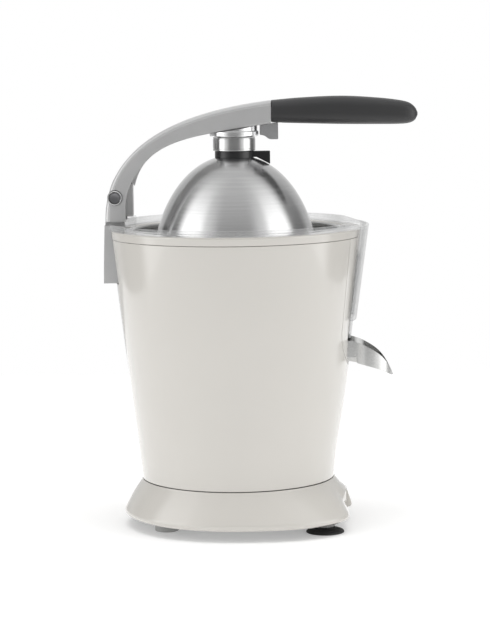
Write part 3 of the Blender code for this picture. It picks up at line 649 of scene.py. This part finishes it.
def fascia_outline(inset):
    """A tall U seen from the front: sides that close a little downwards, on half an ellipse."""
    half = FASCIA_HALF_WIDTH - inset
    top_half = half + FASCIA_SPREAD * (FASCIA_TOP - FASCIA_WAIST_Z)
    points = [(top_half, FASCIA_TOP)]
    for angle in steps(0.0, math.pi, 48):
        points.append((half * math.cos(angle), FASCIA_WAIST_Z - (FASCIA_DROP - inset) * math.sin(angle)))
    points.append((-top_half, FASCIA_TOP))
    return points


def column_gap(low, high):
    """A cutter for the gap that the hinge column stands in."""
    return box(BEHIND, (COLUMN_LOW.y - COLUMN_CLEARANCE, COLUMN_HIGH.y + COLUMN_CLEARANCE), (low, high))


def make_housing():
    shell = draw("housing_shell", turned(body_profile))
    cut(shell, prism(fascia_outline(0.0), "X", *AHEAD))
    cut(shell, column_gap(184.0, 230))
    ease_edges(shell, 0.2)
    finish_piece(shell, "base", "ivory_gloss", "ivory", "housing")

    low, high = BAND_LOW.z, BAND_HIGH.z
    outer = BAND_HIGH.y
    profile = [
        (outer - 0.85, low), (outer - 0.7, low + 0.15), (outer - 0.45, low + 2.0), (outer - 0.1, high - 1.6),
        *upper_corner(outer, high, 1.1, 6), (83.0, high), (82.5, high - 0.5),
        (82.5, 221.9), (91.6, 221.9), (91.2, low),
    ]
    ring = draw("rim_band", turned(profile))
    cut(ring, column_gap(215, 230))
    ease_edges(ring, 0.2)
    finish_piece(ring, "base", "ivory_gloss", "ivory", "top_band")


def spout_bore():
    return rod("Y", SPOUT_PIVOT.xz, 1.8, *ACROSS, TINY)


def make_fascia():
    """The front panel, with the slot that the spout tilts in and the trough behind the chute."""
    panel = draw("front_fascia", turned(body_profile, 48, -32, 32))
    keep(panel, prism(fascia_outline(2 * GAP), "X", *AHEAD))
    half, corner, floor = 17.9, 4.2, 126.5
    slot = [(-half, 145.0), (-half, floor), (-half + corner, floor - corner)]
    slot += [(half - corner, floor - corner), (half, floor), (half, 145.0)]
    cut(panel, prism(slot, "X", *AHEAD))
    cut(panel, box((60, 110), (-16.4, 16.4), (140.0, 205.5)))
    for side in (-1, 1):
        y = sorted((side * 18.3, side * 21.5))
        fuse(panel, box((72.0, 81.8), y, (129.0, 137.5)))
    cut(panel, spout_bore())
    ease_edges(panel, 0.25)
    finish_piece(panel, "base", "ivory_gloss", "ivory", "front_panel")


# ---------------- juice path


def make_bowl():
    low, high = span("juice_bowl")
    rim, wall, floor = high.y, 79.0, 188.0
    profile = [
        (6.6, low.z), (69.5, low.z), (72.5, low.z + 0.9), (77.6, 191.4), (78.7, 193.0), (wall, 194.8),
        (wall, 221.7), (wall + 0.3, 222.0), (rim - 0.5, 222.0), (rim, 222.5), (rim, 223.2),
        (rim - 0.6, high.z), (wall - 1.0, high.z), (wall - 1.6, 223.2), (77.2, 222.4), (77.2, 195.4),
        (76.6, 193.6), (70.6, 188.5), (69.0, floor), (10.0, floor), (9.2, 188.6), (9.0, 189.6),
        (9.0, 203.4), (8.4, 204.0), (6.6, 204.0),
    ]
    bowl = draw("bowl_shell", turned(profile))
    fuse(bowl, box((68.0, 88.5), (-11.0, 11.0), (186.3, 199.5)))
    cut(bowl, box((60.0, 95.0), (-9.0, 9.0), (188.3, 199.8)))
    ease_edges(bowl, 0.25)
    finish_piece(bowl, "base", "brushed_steel", "bowl_steel", "juice_bowl")


def make_strainer():
    low, high = span("strainer")
    wide = high.y
    profile = [
        (wide, low.z), (wide, high.z - 0.5), (wide - 0.5, high.z), (wide - 1.1, high.z), (60.4, high.z - 0.5),
        (60.4, 196.0), (59.0, 194.6), (10.5, 194.6), (10.5, 193.0), (60.4, 193.0), (60.4, low.z),
    ]
    strainer = draw("strainer_tray", turned(profile))
    slots = []
    for i in range(48):
        angle = 2 * math.pi * i / 48
        c, s = math.cos(angle), math.sin(angle)
        for near, far in ((48.2, 52.6), (53.8, 58.2)):
            corners = ((near, -0.9), (far, -0.9), (far, 0.9), (near, 0.9))
            slots.append(prism([(r * c - w * s, r * s + w * c) for r, w in corners], "Z", 190, 197))
    cut(strainer, joined(slots))
    finish_piece(strainer, "base", "brushed_steel", "bowl_steel", "strainer")


CONE_FLUTES = 8
CONE_PROFILE = ((200.5, 44.0), (206.0, 40.0), (216.0, 32.5), (228.0, 24.0), (240.0, 15.0), (249.0, 7.5))


def cone_profile(angle):
    """Eight rounded ribs that run from the broad skirt up to a soft point."""
    low, high = span("reamer_cone")
    sharp = abs(math.cos(CONE_FLUTES * angle / 2)) ** 1.5
    flute = 2 * sharp - 1
    ribbed = [(spline(CONE_PROFILE, z) * (1 + 0.06 * flute), z) for z in steps(201.5, 249.0, 30)]
    tip = [(5.4, 251.5), (3.6, 253.8), (1.6, 255.4), (0.0, high.z)]
    bore = [(0.0, 229.0), (5.3, 229.0), (5.3, 207.0), (13.0, 207.0), (13.0, low.z)]
    skirt = [(43.2, low.z), (44.0, 198.2), (44.0, 199.8), (43.4, 200.6)]
    return skirt + ribbed + tip + bore


def make_cone():
    cone = draw("reamer_ribbed", turned(cone_profile))
    finish_piece(cone, "spindle", "black_plastic", "cone", "reamer_cone")


FRONT_STEPS = 24


def front_section(z, back, half_width, radius, corner):
    """A horizontal section with a flat back and sides and a front that follows a circle about the axis."""
    sweep = math.asin((half_width - corner) / radius)
    turns = [sweep * k / FRONT_STEPS for k in range(-FRONT_STEPS, FRONT_STEPS + 1)]
    front = [(radius * math.cos(a), radius * math.sin(a)) for a in turns]
    near = arc((front[0][0] - corner, front[0][1]), corner, -math.pi / 2, -0.5, 6)
    far = [(x, -y) for x, y in reversed(near)]
    return [(x, y, z) for x, y in ((back, -half_width), *near, *front, *far, (back, half_width))]


CHUTE_HALF_WIDTH = 16.0
CHUTE_WALL = 1.8


def chute_front(z):
    return 86.4 + 0.13 * (z - 141.1)


def make_chute():
    low, high = span("juice_chute")
    half, wall = CHUTE_HALF_WIDTH, CHUTE_WALL
    outer = [front_section(z, low.x, half, chute_front(z), 1.2) for z in steps(low.z, high.z, 8)]
    chute = draw("chute_tube", loft(outer))
    inner = [
        front_section(z, low.x + wall, half - wall, chute_front(z) - wall, 1.0)
        for z in (low.z - 5, high.z + 5)
    ]
    cut(chute, loft(inner))
    cut(chute, box((70, 80.5), (-20, 20), (181.0, 210)))
    ease_edges(chute, 0.25)
    finish_piece(chute, "base", "clear_plastic", "clear", "juice_chute")

    low, high = span("chute_seal")
    sections = [front_section(z, low.x, high.y, 86.3, 1.0) for z in (low.z, high.z)]
    seal = draw("chute_gasket", loft(sections))
    cut(seal, box((78.5, 84.0), (-12.5, 12.5), (130, 150)))
    ease_edges(seal, 0.3)
    finish_piece(seal, "base", "suction_rubber", "rubber", "chute_seal")


LIP_RADIUS = 100.5
LIP_Z = 226.2
RING_RADIUS = 95.5
RING_INNER = 83.0
SHIELD_TAPER = 0.1386
SHIELD_HALF_WIDTH = 26.5
SHIELD_WALL = 2.0
NOTCH_HALF_WIDTH = 16.8


def shield_radius(z):
    return LIP_RADIUS - SHIELD_TAPER * (226.1 - z)


def guard_lip(angle):
    """1 where the ring swells out over the chute, 0 round the rest of it."""
    degrees = abs(math.degrees(math.atan2(math.sin(angle), math.cos(angle))))
    return smoothstep((31.0 - degrees) / 11.0)


def guard_profile(angle):
    bottom, top_most, floor_top = SHIELD_HIGH.z - 4.6, SHIELD_HIGH.z, 225.9
    lip = guard_lip(angle)
    outer = RING_RADIUS + (LIP_RADIUS - RING_RADIUS) * lip
    top = top_most + (LIP_Z - top_most) * lip
    crest = upper_corner(outer, top, 0.6, 4)
    back = round_corner((outer - 2.4, top), (0, 1), (-1, 0), 0.4, 3)
    return [
        (outer - 0.5, bottom), (outer - 0.1, bottom + 0.3), (outer, bottom + 0.8), *crest, *back,
        (outer - 2.7, floor_top), (RING_INNER + 0.4, floor_top), (RING_INNER, floor_top - 0.4),
        (RING_INNER, bottom + 0.3), (RING_INNER + 0.3, bottom),
    ]


def shield_back(z):
    """Where the shield's side walls end, 1 mm off the body."""
    return math.sqrt((body_radius(z) + 1.0) ** 2 - SHIELD_HALF_WIDTH**2)


def make_splash_guard():
    """A clear open ring whose front lip runs down into a shield over the chute."""
    guard = draw("clear_guard", turned(guard_profile))
    outer = [
        front_section(z, shield_back(z), SHIELD_HALF_WIDTH, shield_radius(z), 3.0)
        for z in steps(SHIELD_LOW.z, 225.3, 12)
    ]
    fuse(guard, loft(outer))
    half = SHIELD_HALF_WIDTH - SHIELD_WALL
    inner = [
        front_section(z, 60.0, half, shield_radius(min(z, 226.1)) - SHIELD_WALL, 2.0)
        for z in (SHIELD_LOW.z - 5, 226.1, 235.0)
    ]
    cut(guard, loft(inner))
    cut(guard, box(BEHIND, (-NOTCH_HALF_WIDTH, NOTCH_HALF_WIDTH), (215, 240)))
    ease_edges(guard, 0.25)
    finish_piece(guard, "guard", "clear_plastic", "clear", "splash_guard")

    low, high = span("guard_clip")
    outline = [
        (low.x, low.z), (high.x - 0.8, low.z + 0.6), *lower_corner(high.x, low.z + 0.8, 0.6, 3),
        *upper_corner(high.x, high.z, 1.0, 4), (low.x, high.z),
    ]
    clip = draw("clear_clip", prism(outline, "Y", low.y, high.y))
    ease_edges(clip, 0.5, 3)
    finish_piece(clip, "base", "clear_plastic", "clear", "guard_clip")


SPOUT_WALL = 1.2
SPOUT_RIM = (
    (74.5, 136.8), (84.0, 139.3), (92.0, 137.3), (99.5, 133.6), (105.5, 129.8), (109.7, 126.0),
    (114.0, 120.0), (117.8, 112.2),
)
SPOUT_KEEL = ((74.5, 124.6), (84.7, 123.5), (93.8, 121.4), (103.4, 118.6), (111.1, 115.2), (117.0, 111.8))
SPOUT_FLOOR = ((75.7, 127.8), (86.0, 127.5), (93.8, 122.8), (103.4, 119.9), (111.1, 116.5), (117.8, 112.9))


def spout_plan(inset):
    """Seen from above: parallel at the root, widest near the middle, then half an ellipse to the tip."""
    tip, half = 20.2 - inset, 20.0 - inset
    side = [(74.5 + inset, 17.5 - inset), (88.0, 17.5 - inset)]
    side += [(x, 17.5 + 2.5 * smoothstep((x - 88.0) / 10.0) - inset) for x in steps(89.0, 97.0, 6)]
    nose = [(98 + tip * math.sin(a), half * math.cos(a)) for a in steps(0.0, math.pi, 48)]
    return side + nose + [(x, -y) for x, y in reversed(side)]


def make_spout():
    rim = [(x, spline(SPOUT_RIM, x)) for x in steps(SPOUT_RIM[0][0], SPOUT_RIM[-1][0], 40)]
    keel = [(x, spline(SPOUT_KEEL, x)) for x in steps(SPOUT_KEEL[-1][0], SPOUT_KEEL[0][0], 30)]
    spout = draw("pouring_spout", prism(rim + keel, "Y", -24, 24))
    keep(spout, prism(spout_plan(0.0), "Z", 100, 150))
    floor = [(x, spline(SPOUT_FLOOR, x)) for x in steps(SPOUT_FLOOR[-1][0], SPOUT_FLOOR[0][0], 30)]
    hollow = draw("hollow", prism([(75.7, 150), (125, 150), (125, 109.5), *floor], "Y", -24, 24))
    keep(hollow, prism(spout_plan(SPOUT_WALL), "Z", 100, 155))
    cut(spout, taken(hollow))
    for side in (-1, 1):
        wedge = ((side * 12.0, 121.1), (side * 25.0, 121.1), (side * 25.0, 134.1))
        cut(spout, prism(wedge, "X", 70.0, 90.0))
    cut(spout, spout_bore())
    ease_edges(spout, 0.25)
    finish_piece(spout, "spout", "brushed_steel", "spout_steel", "spout")


# ---------------- hinge and arm

HEAD_RADIUS = 16.0
SLOT_RADIUS = 16.8
CHEEK_INNER = 8.4
ARM_HALF_WIDTH = 14.0
CHEEK_BOTTOM = 230.6
ARM_OUTER_CURVE = ((27.6, 318.9), (-31.7, 312.1), (-96.9, 292.2), (-96.9, CHEEK_BOTTOM))
ARM_INNER_CURVE = ((27.6, 302.6), (-31.5, 292.0), (-82.6, 295.0), (-76.2, CHEEK_BOTTOM))
CHEEK_SWEEP = ((-81.6, 240.0), (-81.6, 256.0), (-72.5, 268.5), (-63.9, 276.9))
COLUMN_SCREW_Z = 201.0


def hinge_circle(radius, degrees):
    angle = math.radians(degrees)
    return (HINGE.x + radius * math.cos(angle), HINGE.z + radius * math.sin(angle))


def make_column():
    low, high = span("hinge_column")
    block = (
        (low.x, 184.4), (-86.0, 184.4), (-86.0, 186.8), (-83.4, 186.8), (-83.4, 227.6), (-97.6, 227.6),
        (-97.8, 222.0), (-98.6, 198.0),
    )
    column = draw("column_casting", prism(block, "Y", low.y + 8.5, high.y - 8.5))
    head = [hinge_circle(HEAD_RADIUS, degrees) for degrees in steps(85, 40, 12)]
    back = ((226.0, -97.4), (236.0, -96.7), (243.0, -95.7), (249.0, -94.6), (256.0, -92.8), (261.0, -90.8))
    spine = [(spline(back, z), z) for z in steps(226.0, 261.0, 14)]
    tongue = [*spine, *head, (-76.4, 256.0), (-76.4, 234.3), (-83.6, 234.3), (-83.6, 226.0)]
    fuse(column, prism(tongue, "Y", -8.0, 8.0))
    fuse(column, box((-84.3, -82.2), (low.y, high.y), (187.4, 216.0)))
    cut(column, rod("Y", HINGE.xz, 4.7, *ACROSS))
    for side in ("near", "far"):
        cut(column, rod("X", (centre(f"column_screw_{side}").y, COLUMN_SCREW_Z), 2.2, -90, -70, TINY))
    ease_edges(column, 0.5, 3)
    finish_piece(column, "base", "cast_aluminium", "aluminium", "hinge_column")

    for side in ("near", "far"):
        low, high = span(f"column_screw_{side}")
        middle = (centre(f"column_screw_{side}").y, COLUMN_SCREW_Z)
        profile = [
            (0, low.x), (1.6, low.x), (1.8, low.x + 0.3), (1.8, -81.9), (3.3, -81.9), (3.3, -80.8),
            (2.9, high.x), (0, high.x),
        ]
        screw = draw(f"column_bolt_{side}", lathe("X", middle, profile, 32))
        finish_piece(screw, "base", "machine_steel", "machine_steel", f"column_screw_{side}")

    low, high = span("hinge_pin")
    radius = (high.x - low.x) / 2
    ends = [(0, low.y + 0.35), (radius - 1.6, low.y + 0.2), (radius - 1.2, low.y), (radius - 0.4, low.y)]
    half = ends + [(radius, low.y + 0.4)]
    profile = half + [(r, -y) for r, y in reversed(half)]
    pin = draw("hinge_axle", lathe("Y", HINGE.xz, profile))
    finish_piece(pin, "base", "machine_steel", "pin_steel", "hinge_pin")


def arm_section(t):
    """The arm across its length at t: flat faces, a fine shoulder and a crowned outer edge."""
    outer = Vector(bezier(ARM_OUTER_CURVE, t))
    inner = Vector(bezier(ARM_INNER_CURVE, t))
    depth = (outer - inner).length
    half = ARM_HALF_WIDTH
    lower = [(1.3 - 1.3 * math.cos(a), half - 1.3 + 1.3 * math.sin(a)) for a in steps(0.0, math.pi / 2, 5)]
    shoulder = [(depth - 3.3, half), (depth - 3.0, half - 0.1), (depth - 2.75, half - 0.45)]
    crown = [
        (depth - 2.75 + 2.75 * math.sin(a), half - 3.4 + 2.95 * math.cos(a))
        for a in steps(0.12, math.pi / 2, 7)
    ]
    rows = lower + shoulder + crown
    points = []
    for side, order in ((1, rows), (-1, list(reversed(rows)))):
        for up, y in order:
            place = inner + (outer - inner) * (up / depth)
            points.append((place.x, side * y, place.y))
    return points


def make_arm():
    arm = draw("arm_casting", loft([arm_section(t) for t in steps(0.0, 1.0, 80)]))
    sweep = [bezier(CHEEK_SWEEP, t) for t in steps(0.0, 1.0, 16)]
    outline = [(-60.0, 220.0), (CHEEK_SWEEP[0][0], 220.0), *sweep, (-60.0, sweep[-1][1])]
    cut(arm, prism(outline, "Y", -20, -CHEEK_INNER))
    cut(arm, prism(outline, "Y", CHEEK_INNER, 20))
    cut(arm, rod("Y", HINGE.xz, SLOT_RADIUS, -CHEEK_INNER, CHEEK_INNER, MEDIUM))
    cut(arm, box((-110, -60), (-CHEEK_INNER, CHEEK_INNER), (220.0, HINGE.z)))
    cut(arm, rod("Y", HINGE.xz, 5.9, *ACROSS))
    fuse(arm, box((20.0, 118.0), (-5.0, 5.0), (306.5, 314.0)))
    cut(arm, box((19.8, 26.4), (-3.2, 3.2), (295.0, 310.0)))
    cut(arm, rod("Y", TRIGGER_PIVOT.xz, 1.5, -13.7, 13.7, TINY))
    ease_edges(arm, 0.3)
    finish_piece(arm, "lever", "cast_aluminium", "aluminium", "arm")

    for side in ("near", "far"):
        low, high = span(f"pin_ring_{side}")
        inner, outer = 4.65, (high.x - low.x) / 2
        face, root = (low.y, high.y) if side == "near" else (high.y, low.y)
        step = 0.5 if side == "near" else -0.5
        profile = [
            (inner, root), (outer, root), (outer, face + step), (outer - 0.2, face + 0.2 * step),
            (outer - 0.5, face), (inner + 0.3, face), (inner, face + 0.3 * step),
        ]
        ring = draw(f"pin_collar_{side}", lathe("Y", HINGE.xz, profile))
        finish_piece(ring, "lever", "brushed_steel", "bright_steel", f"pin_ring_{side}")


# (x, lowest z, highest z, half width)
GRIP_STATIONS = (
    (27.9, 302.6, 319.2, 14.5), (50.0, 301.8, 320.9, 15.0), (81.0, 300.8, 321.8, 15.0),
    (108.0, 300.4, 320.1, 14.6), (124.4, 300.4, 318.0, 13.6), (131.5, 301.2, 316.0, 12.0),
    (135.4, 303.4, 312.7, 9.0), (137.1, 306.6, 309.4, 5.0),
)


GRIP_SIDES = 64
GRIP_POWER = 3.2
GRIP_MOUTH = 0.965
GRIP_MOUTH_Z = 310.9
GRIP_TIP_X = 124.0


def grip_section(x):
    """A rounded rectangle whose height and width follow the grip's length."""
    low, high, half = (spline([(s[0], s[k]) for s in GRIP_STATIONS], x) for k in (1, 2, 3))
    middle, rise = (low + high) / 2, (high - low) / 2
    points = []
    for k in range(GRIP_SIDES):
        angle = 2 * math.pi * k / GRIP_SIDES
        c, s = math.cos(angle), math.sin(angle)
        scale = 1 / (abs(c) ** GRIP_POWER + abs(s) ** GRIP_POWER) ** (1 / GRIP_POWER)
        points.append((x, half * c * scale, middle + rise * s * scale))
    return points


def make_grip():
    start, end = GRIP_LOW.x, GRIP_HIGH.x
    first = [
        (x, y * GRIP_MOUTH, GRIP_MOUTH_Z + (z - GRIP_MOUTH_Z) * GRIP_MOUTH) for x, y, z in grip_section(start)
    ]
    places = [start + 0.5, *steps(start + 2, GRIP_TIP_X, 44)]
    places += [end - (end - GRIP_TIP_X) * (1 - math.sin(a)) for a in steps(0.06, math.pi / 2, 22)]
    grip = draw("soft_grip", loft([first, *[grip_section(x) for x in places]]))
    cut(grip, box((20.0, 119.0), (-5.4, 5.4), (306.1, 314.4)))
    cut(grip, box((20.0, 36.0), (-6.7, 6.7), (290.0, 304.4)))
    ease_edges(grip, 0.2)
    finish_piece(grip, "lever", "grip_rubber", "grip", "grip")


def make_trigger():
    low, high = span("trigger")
    curl = [
        (19.6, 293.55), (20.4, 293.5), (21.5, 293.3), (22.6, 292.9), (23.6, 292.3), (24.6, 291.5),
        (25.4, 290.9), (26.4, 290.45), (27.6, 290.25), (32.4, low.z), (32.9, 290.5),
    ]
    blade = [(low.x, 300.7), (low.x, 294.0), *curl, (high.x, 291.0), (high.x, 302.0), (32.6, 302.4)]
    shank = [(27.4, 301.6), (25.3, 301.4), (25.3, 308.6), (20.5, 308.6), (20.5, 300.9)]
    trigger = draw("trigger_lever", prism(blade + shank, "Y", -2.8, 2.8))
    fuse(trigger, prism(blade, "Y", -6.0, 6.0))
    cut(trigger, rod("Y", TRIGGER_PIVOT.xz, 1.5, *ACROSS, TINY))
    ease_edges(trigger, 0.5, 3)
    finish_piece(trigger, "trigger", "grey_plastic", "trigger", "trigger")


# ---------------- press head

DOME_CENTRE_Z = 174.4
DOME_HEIGHT = 104.2
DOME_TOP_Z = 276.5
DOME_POWER = 2.13
DOME_WALL = 1.5
DOME_RADIUS = 64.9
DOME_CROWN = 14.6


def make_collars():
    low, high = span("arm_boss")
    wide = high.y
    profile = [
        (0, low.z), (wide - 1.1, low.z), (wide - 0.5, low.z + 0.25), (wide, low.z + 0.9), (wide, 296.2),
        (wide - 0.9, 296.9), (wide - 0.9, high.z), (0, high.z),
    ]
    boss = draw("boss_turned", turned(profile, MEDIUM))
    underside = [bezier(ARM_INNER_CURVE, t) for t in steps(0.0, 0.55, 40)]
    outline = [(45.0, 305.4), *[(x, z - 0.35) for x, z in underside], (-60.0, 330.0), (45.0, 330.0)]
    cut(boss, prism(outline, "Y", -25, 25))
    finish_piece(boss, "lever", "cast_aluminium", "machined", "arm_boss")

    low, high = span("steel_collar")
    wide = high.y
    profile = [
        (0, low.z), *lower_corner(wide, low.z, 0.5, 4), (wide, 283.2), (wide - 0.2, 283.4),
        (wide - 0.2, 283.7), (wide, 283.9), (wide, high.z - 1.3), (wide - 0.25, high.z - 1.1),
        (wide - 0.25, high.z - 0.7), (wide, high.z - 0.5), (wide - 0.3, high.z), (0, high.z),
    ]
    collar = draw("collar_turned", turned(profile, MEDIUM))
    finish_piece(collar, "lever", "brushed_steel", "collar_steel", "steel_collar")

    low, high = span("dome_collar")
    wide = high.y
    clamp = draw("dome_bayonet", turned(disc_profile(wide, DOME_TOP_Z + 0.1, high.z, 0.2), MEDIUM))
    fin = ((9.0, 277.0), (16.6, 277.0), (high.x, low.z + 1.4), (high.x, 281.5), (9.0, 281.5))
    tab = draw("tab", prism(fin, "Y", -3.2, 3.2))
    ease_edges(tab, 0.5, 3)
    fuse(clamp, taken(tab))
    finish_piece(clamp, "dome", "black_plastic", "black", "dome_collar")


def dome_curve(radius, height):
    """The dome's outline from its rim up to the edge of its flat top."""
    sharpness = 2 / DOME_POWER
    start = math.asin(((DOME_LOW.z + 0.9 - DOME_CENTRE_Z) / height) ** (1 / sharpness))
    end = math.acos((DOME_CROWN / radius) ** (1 / sharpness))
    return [
        (radius * math.cos(a) ** sharpness, DOME_CENTRE_Z + height * math.sin(a) ** sharpness)
        for a in steps(start, end, 56)
    ]


def make_dome():
    outer = dome_curve(DOME_RADIUS, DOME_HEIGHT)
    inner = dome_curve(DOME_RADIUS - DOME_WALL, DOME_HEIGHT - DOME_WALL)
    rim = [
        (inner[0][0] + 0.25, DOME_LOW.z + 0.2), (inner[0][0] + 0.75, DOME_LOW.z),
        (outer[0][0] - 0.25, DOME_LOW.z + 0.25),
    ]
    roof, edge = DOME_TOP_Z - DOME_WALL, DOME_CROWN - 0.4
    top = [(edge, DOME_TOP_Z), (0, DOME_TOP_Z), (0, roof), (edge, roof)]
    dome = draw("dome_shell", turned([*rim, *outer, *top, *reversed(inner)]))
    finish_piece(dome, "dome", "brushed_steel", "dome_steel", "press_dome")


# ---------------- what the casing hides

HIDDEN = {
    "grey": ("drive_deck", "gearbox_base", "gearbox_cover"),
    "nylon": ("output_gear", "idler_gear"),
    "bronze": ("upper_bush", "lower_bush", "motor_pinion"),
    "copper": ("motor_armature",),
    "black": ("start_switch",),
    "rubber": ("shaft_seal",),
    "machine_steel": (
        "drive_shaft", "thrust_collar", "return_spring", "idler_axle", "motor_can", "motor_shaft",
        "trigger_pin", "spout_pin",
    ),
}


def dress_hidden_parts():
    for material, names in HIDDEN.items():
        for name in names:
            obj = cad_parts[name]
            if not obj.material_slots:
                obj.data.materials.append(None)
            for slot in obj.material_slots:
                slot.link = "OBJECT"
                slot.material = MATERIALS[material]


# ---------------- studio

CAMERA_DISTANCE = 1.8
CAMERA_HEIGHT = 0.3683
CAMERA_SIDE = 0.0065
CAMERA_PITCH = math.radians(6.529)
CAMERA_ROLL = math.radians(0.75)
CAMERA_LENS = 139.8


def make_camera():
    data = bpy.data.cameras.new("camera")
    data.lens = CAMERA_LENS
    data.sensor_width = 36.0
    data.clip_end = 100.0
    camera = add_object("camera", data)
    camera.location = (AXIS_X * MM + CAMERA_SIDE, -CAMERA_DISTANCE, CAMERA_HEIGHT)
    camera.rotation_euler = (math.pi / 2 - CAMERA_PITCH, 0.0, 0.0)
    camera.rotation_euler.rotate_axis("Z", -CAMERA_ROLL)
    bpy.context.scene.camera = camera


FLOOR_GLOW = 0.25
FLOOR_REACH = 0.8


def make_floor():
    bm = bmesh.new()
    bmesh.ops.create_grid(bm, x_segments=1, y_segments=1, size=FLOOR_REACH)
    mesh = bpy.data.meshes.new("floor")
    bm.to_mesh(mesh)
    bm.free()
    floor = add_object("floor", mesh)
    paper = new_material("floor_paper", (0.86, 0.86, 0.86), 0.9, specular_ior_level=0.0)
    shader = shader_of(paper)
    shader.inputs["Emission Color"].default_value = (1.0, 1.0, 1.0, 1.0)
    shader.inputs["Emission Strength"].default_value = FLOOR_GLOW
    floor.data.materials.append(paper)


# Brightness round the studio, from straight behind the camera (0) to straight behind the machine (1).
SURROUND = (
    (0.0, 0.24), (0.12, 0.26), (0.26, 0.9), (0.34, 2.0), (0.48, 2.0), (0.57, 0.16), (0.68, 0.18),
    (0.8, 0.5), (1.0, 0.8),
)
CEILING = 0.6
SURROUND_SCALE = 2.5
CEILING_RISE = (0.1, 1.1)


def make_world():
    """White to the camera, also through the clear parts. It lights the machine with a ring of soft panels,
    a dark gap at each side and a bright ceiling."""
    world = bpy.data.worlds.new("studio")
    bpy.context.scene.world = world
    world.use_nodes = True
    world.node_tree.nodes.clear()

    place = node(world, "ShaderNodeTexCoord")
    split = node(world, "ShaderNodeSeparateXYZ")
    side = node(world, "ShaderNodeMath", operation="ABSOLUTE")
    ahead = node(world, "ShaderNodeMath", operation="MULTIPLY")
    turn = node(world, "ShaderNodeMath", operation="ARCTAN2")
    share = node(world, "ShaderNodeMath", operation="DIVIDE")
    ahead.inputs[1].default_value = -1.0
    share.inputs[1].default_value = math.pi
    ramp = node(world, "ShaderNodeValToRGB")
    ramp.color_ramp.interpolation = "EASE"
    elements = ramp.color_ramp.elements
    while len(elements) < len(SURROUND):
        elements.new(0.5)
    for element, (position, value) in zip(elements, SURROUND):
        element.position = position
        element.color = (*[value / SURROUND_SCALE] * 3, 1.0)
    scale = node(world, "ShaderNodeMath", operation="MULTIPLY")
    scale.inputs[1].default_value = SURROUND_SCALE
    rise = node(world, "ShaderNodeMapRange", interpolation_type="SMOOTHSTEP")
    rise.inputs["From Min"].default_value, rise.inputs["From Max"].default_value = CEILING_RISE
    blend = node(world, "ShaderNodeMix", data_type="FLOAT", B=CEILING)
    lit = node(world, "ShaderNodeBackground")
    white = node(world, "ShaderNodeBackground", Color=(1.0, 1.0, 1.0, 1.0))
    path = node(world, "ShaderNodeLightPath")
    choose = node(world, "ShaderNodeMixShader")
    output = node(world, "ShaderNodeOutputWorld")

    for start, end in (
        (place.outputs["Generated"], split.inputs[0]), (split.outputs["X"], side.inputs[0]),
        (split.outputs["Y"], ahead.inputs[0]), (side.outputs[0], turn.inputs[0]),
        (ahead.outputs[0], turn.inputs[1]), (turn.outputs[0], share.inputs[0]),
        (share.outputs[0], ramp.inputs[0]), (ramp.outputs["Color"], scale.inputs[0]),
        (split.outputs["Z"], rise.inputs["Value"]), (rise.outputs[0], blend.inputs["Factor"]),
        (scale.outputs[0], blend.inputs["A"]), (blend.outputs["Result"], lit.inputs["Color"]),
        (path.outputs["Is Camera Ray"], choose.inputs[0]), (lit.outputs[0], choose.inputs[1]),
        (white.outputs[0], choose.inputs[2]), (choose.outputs[0], output.inputs["Surface"]),
    ):
        link(world, start, end)


PANEL_SIZE = (1.6, 1.2)
PANEL_ENERGY = 15.0


def make_panel():
    """One broad soft light overhead."""
    data = bpy.data.lights.new("ceiling_panel", "AREA")
    data.shape = "RECTANGLE"
    data.size, data.size_y = PANEL_SIZE
    data.energy = PANEL_ENERGY
    panel = add_object("ceiling_panel", data)
    panel.location = (0.0, -0.1, 1.7)
    panel.visible_camera = False
    panel.visible_glossy = False


for make in (
    make_base, make_underside, make_feet, make_housing, make_fascia, make_bowl, make_strainer,
    make_cone, make_chute, make_splash_guard, make_spout, make_column, make_arm, make_grip,
    make_trigger, make_collars, make_dome,
):
    make()
dress_hidden_parts()
make_camera()
make_floor()
make_world()
make_panel()
bpy.context.scene.view_settings.view_transform = "Standard"
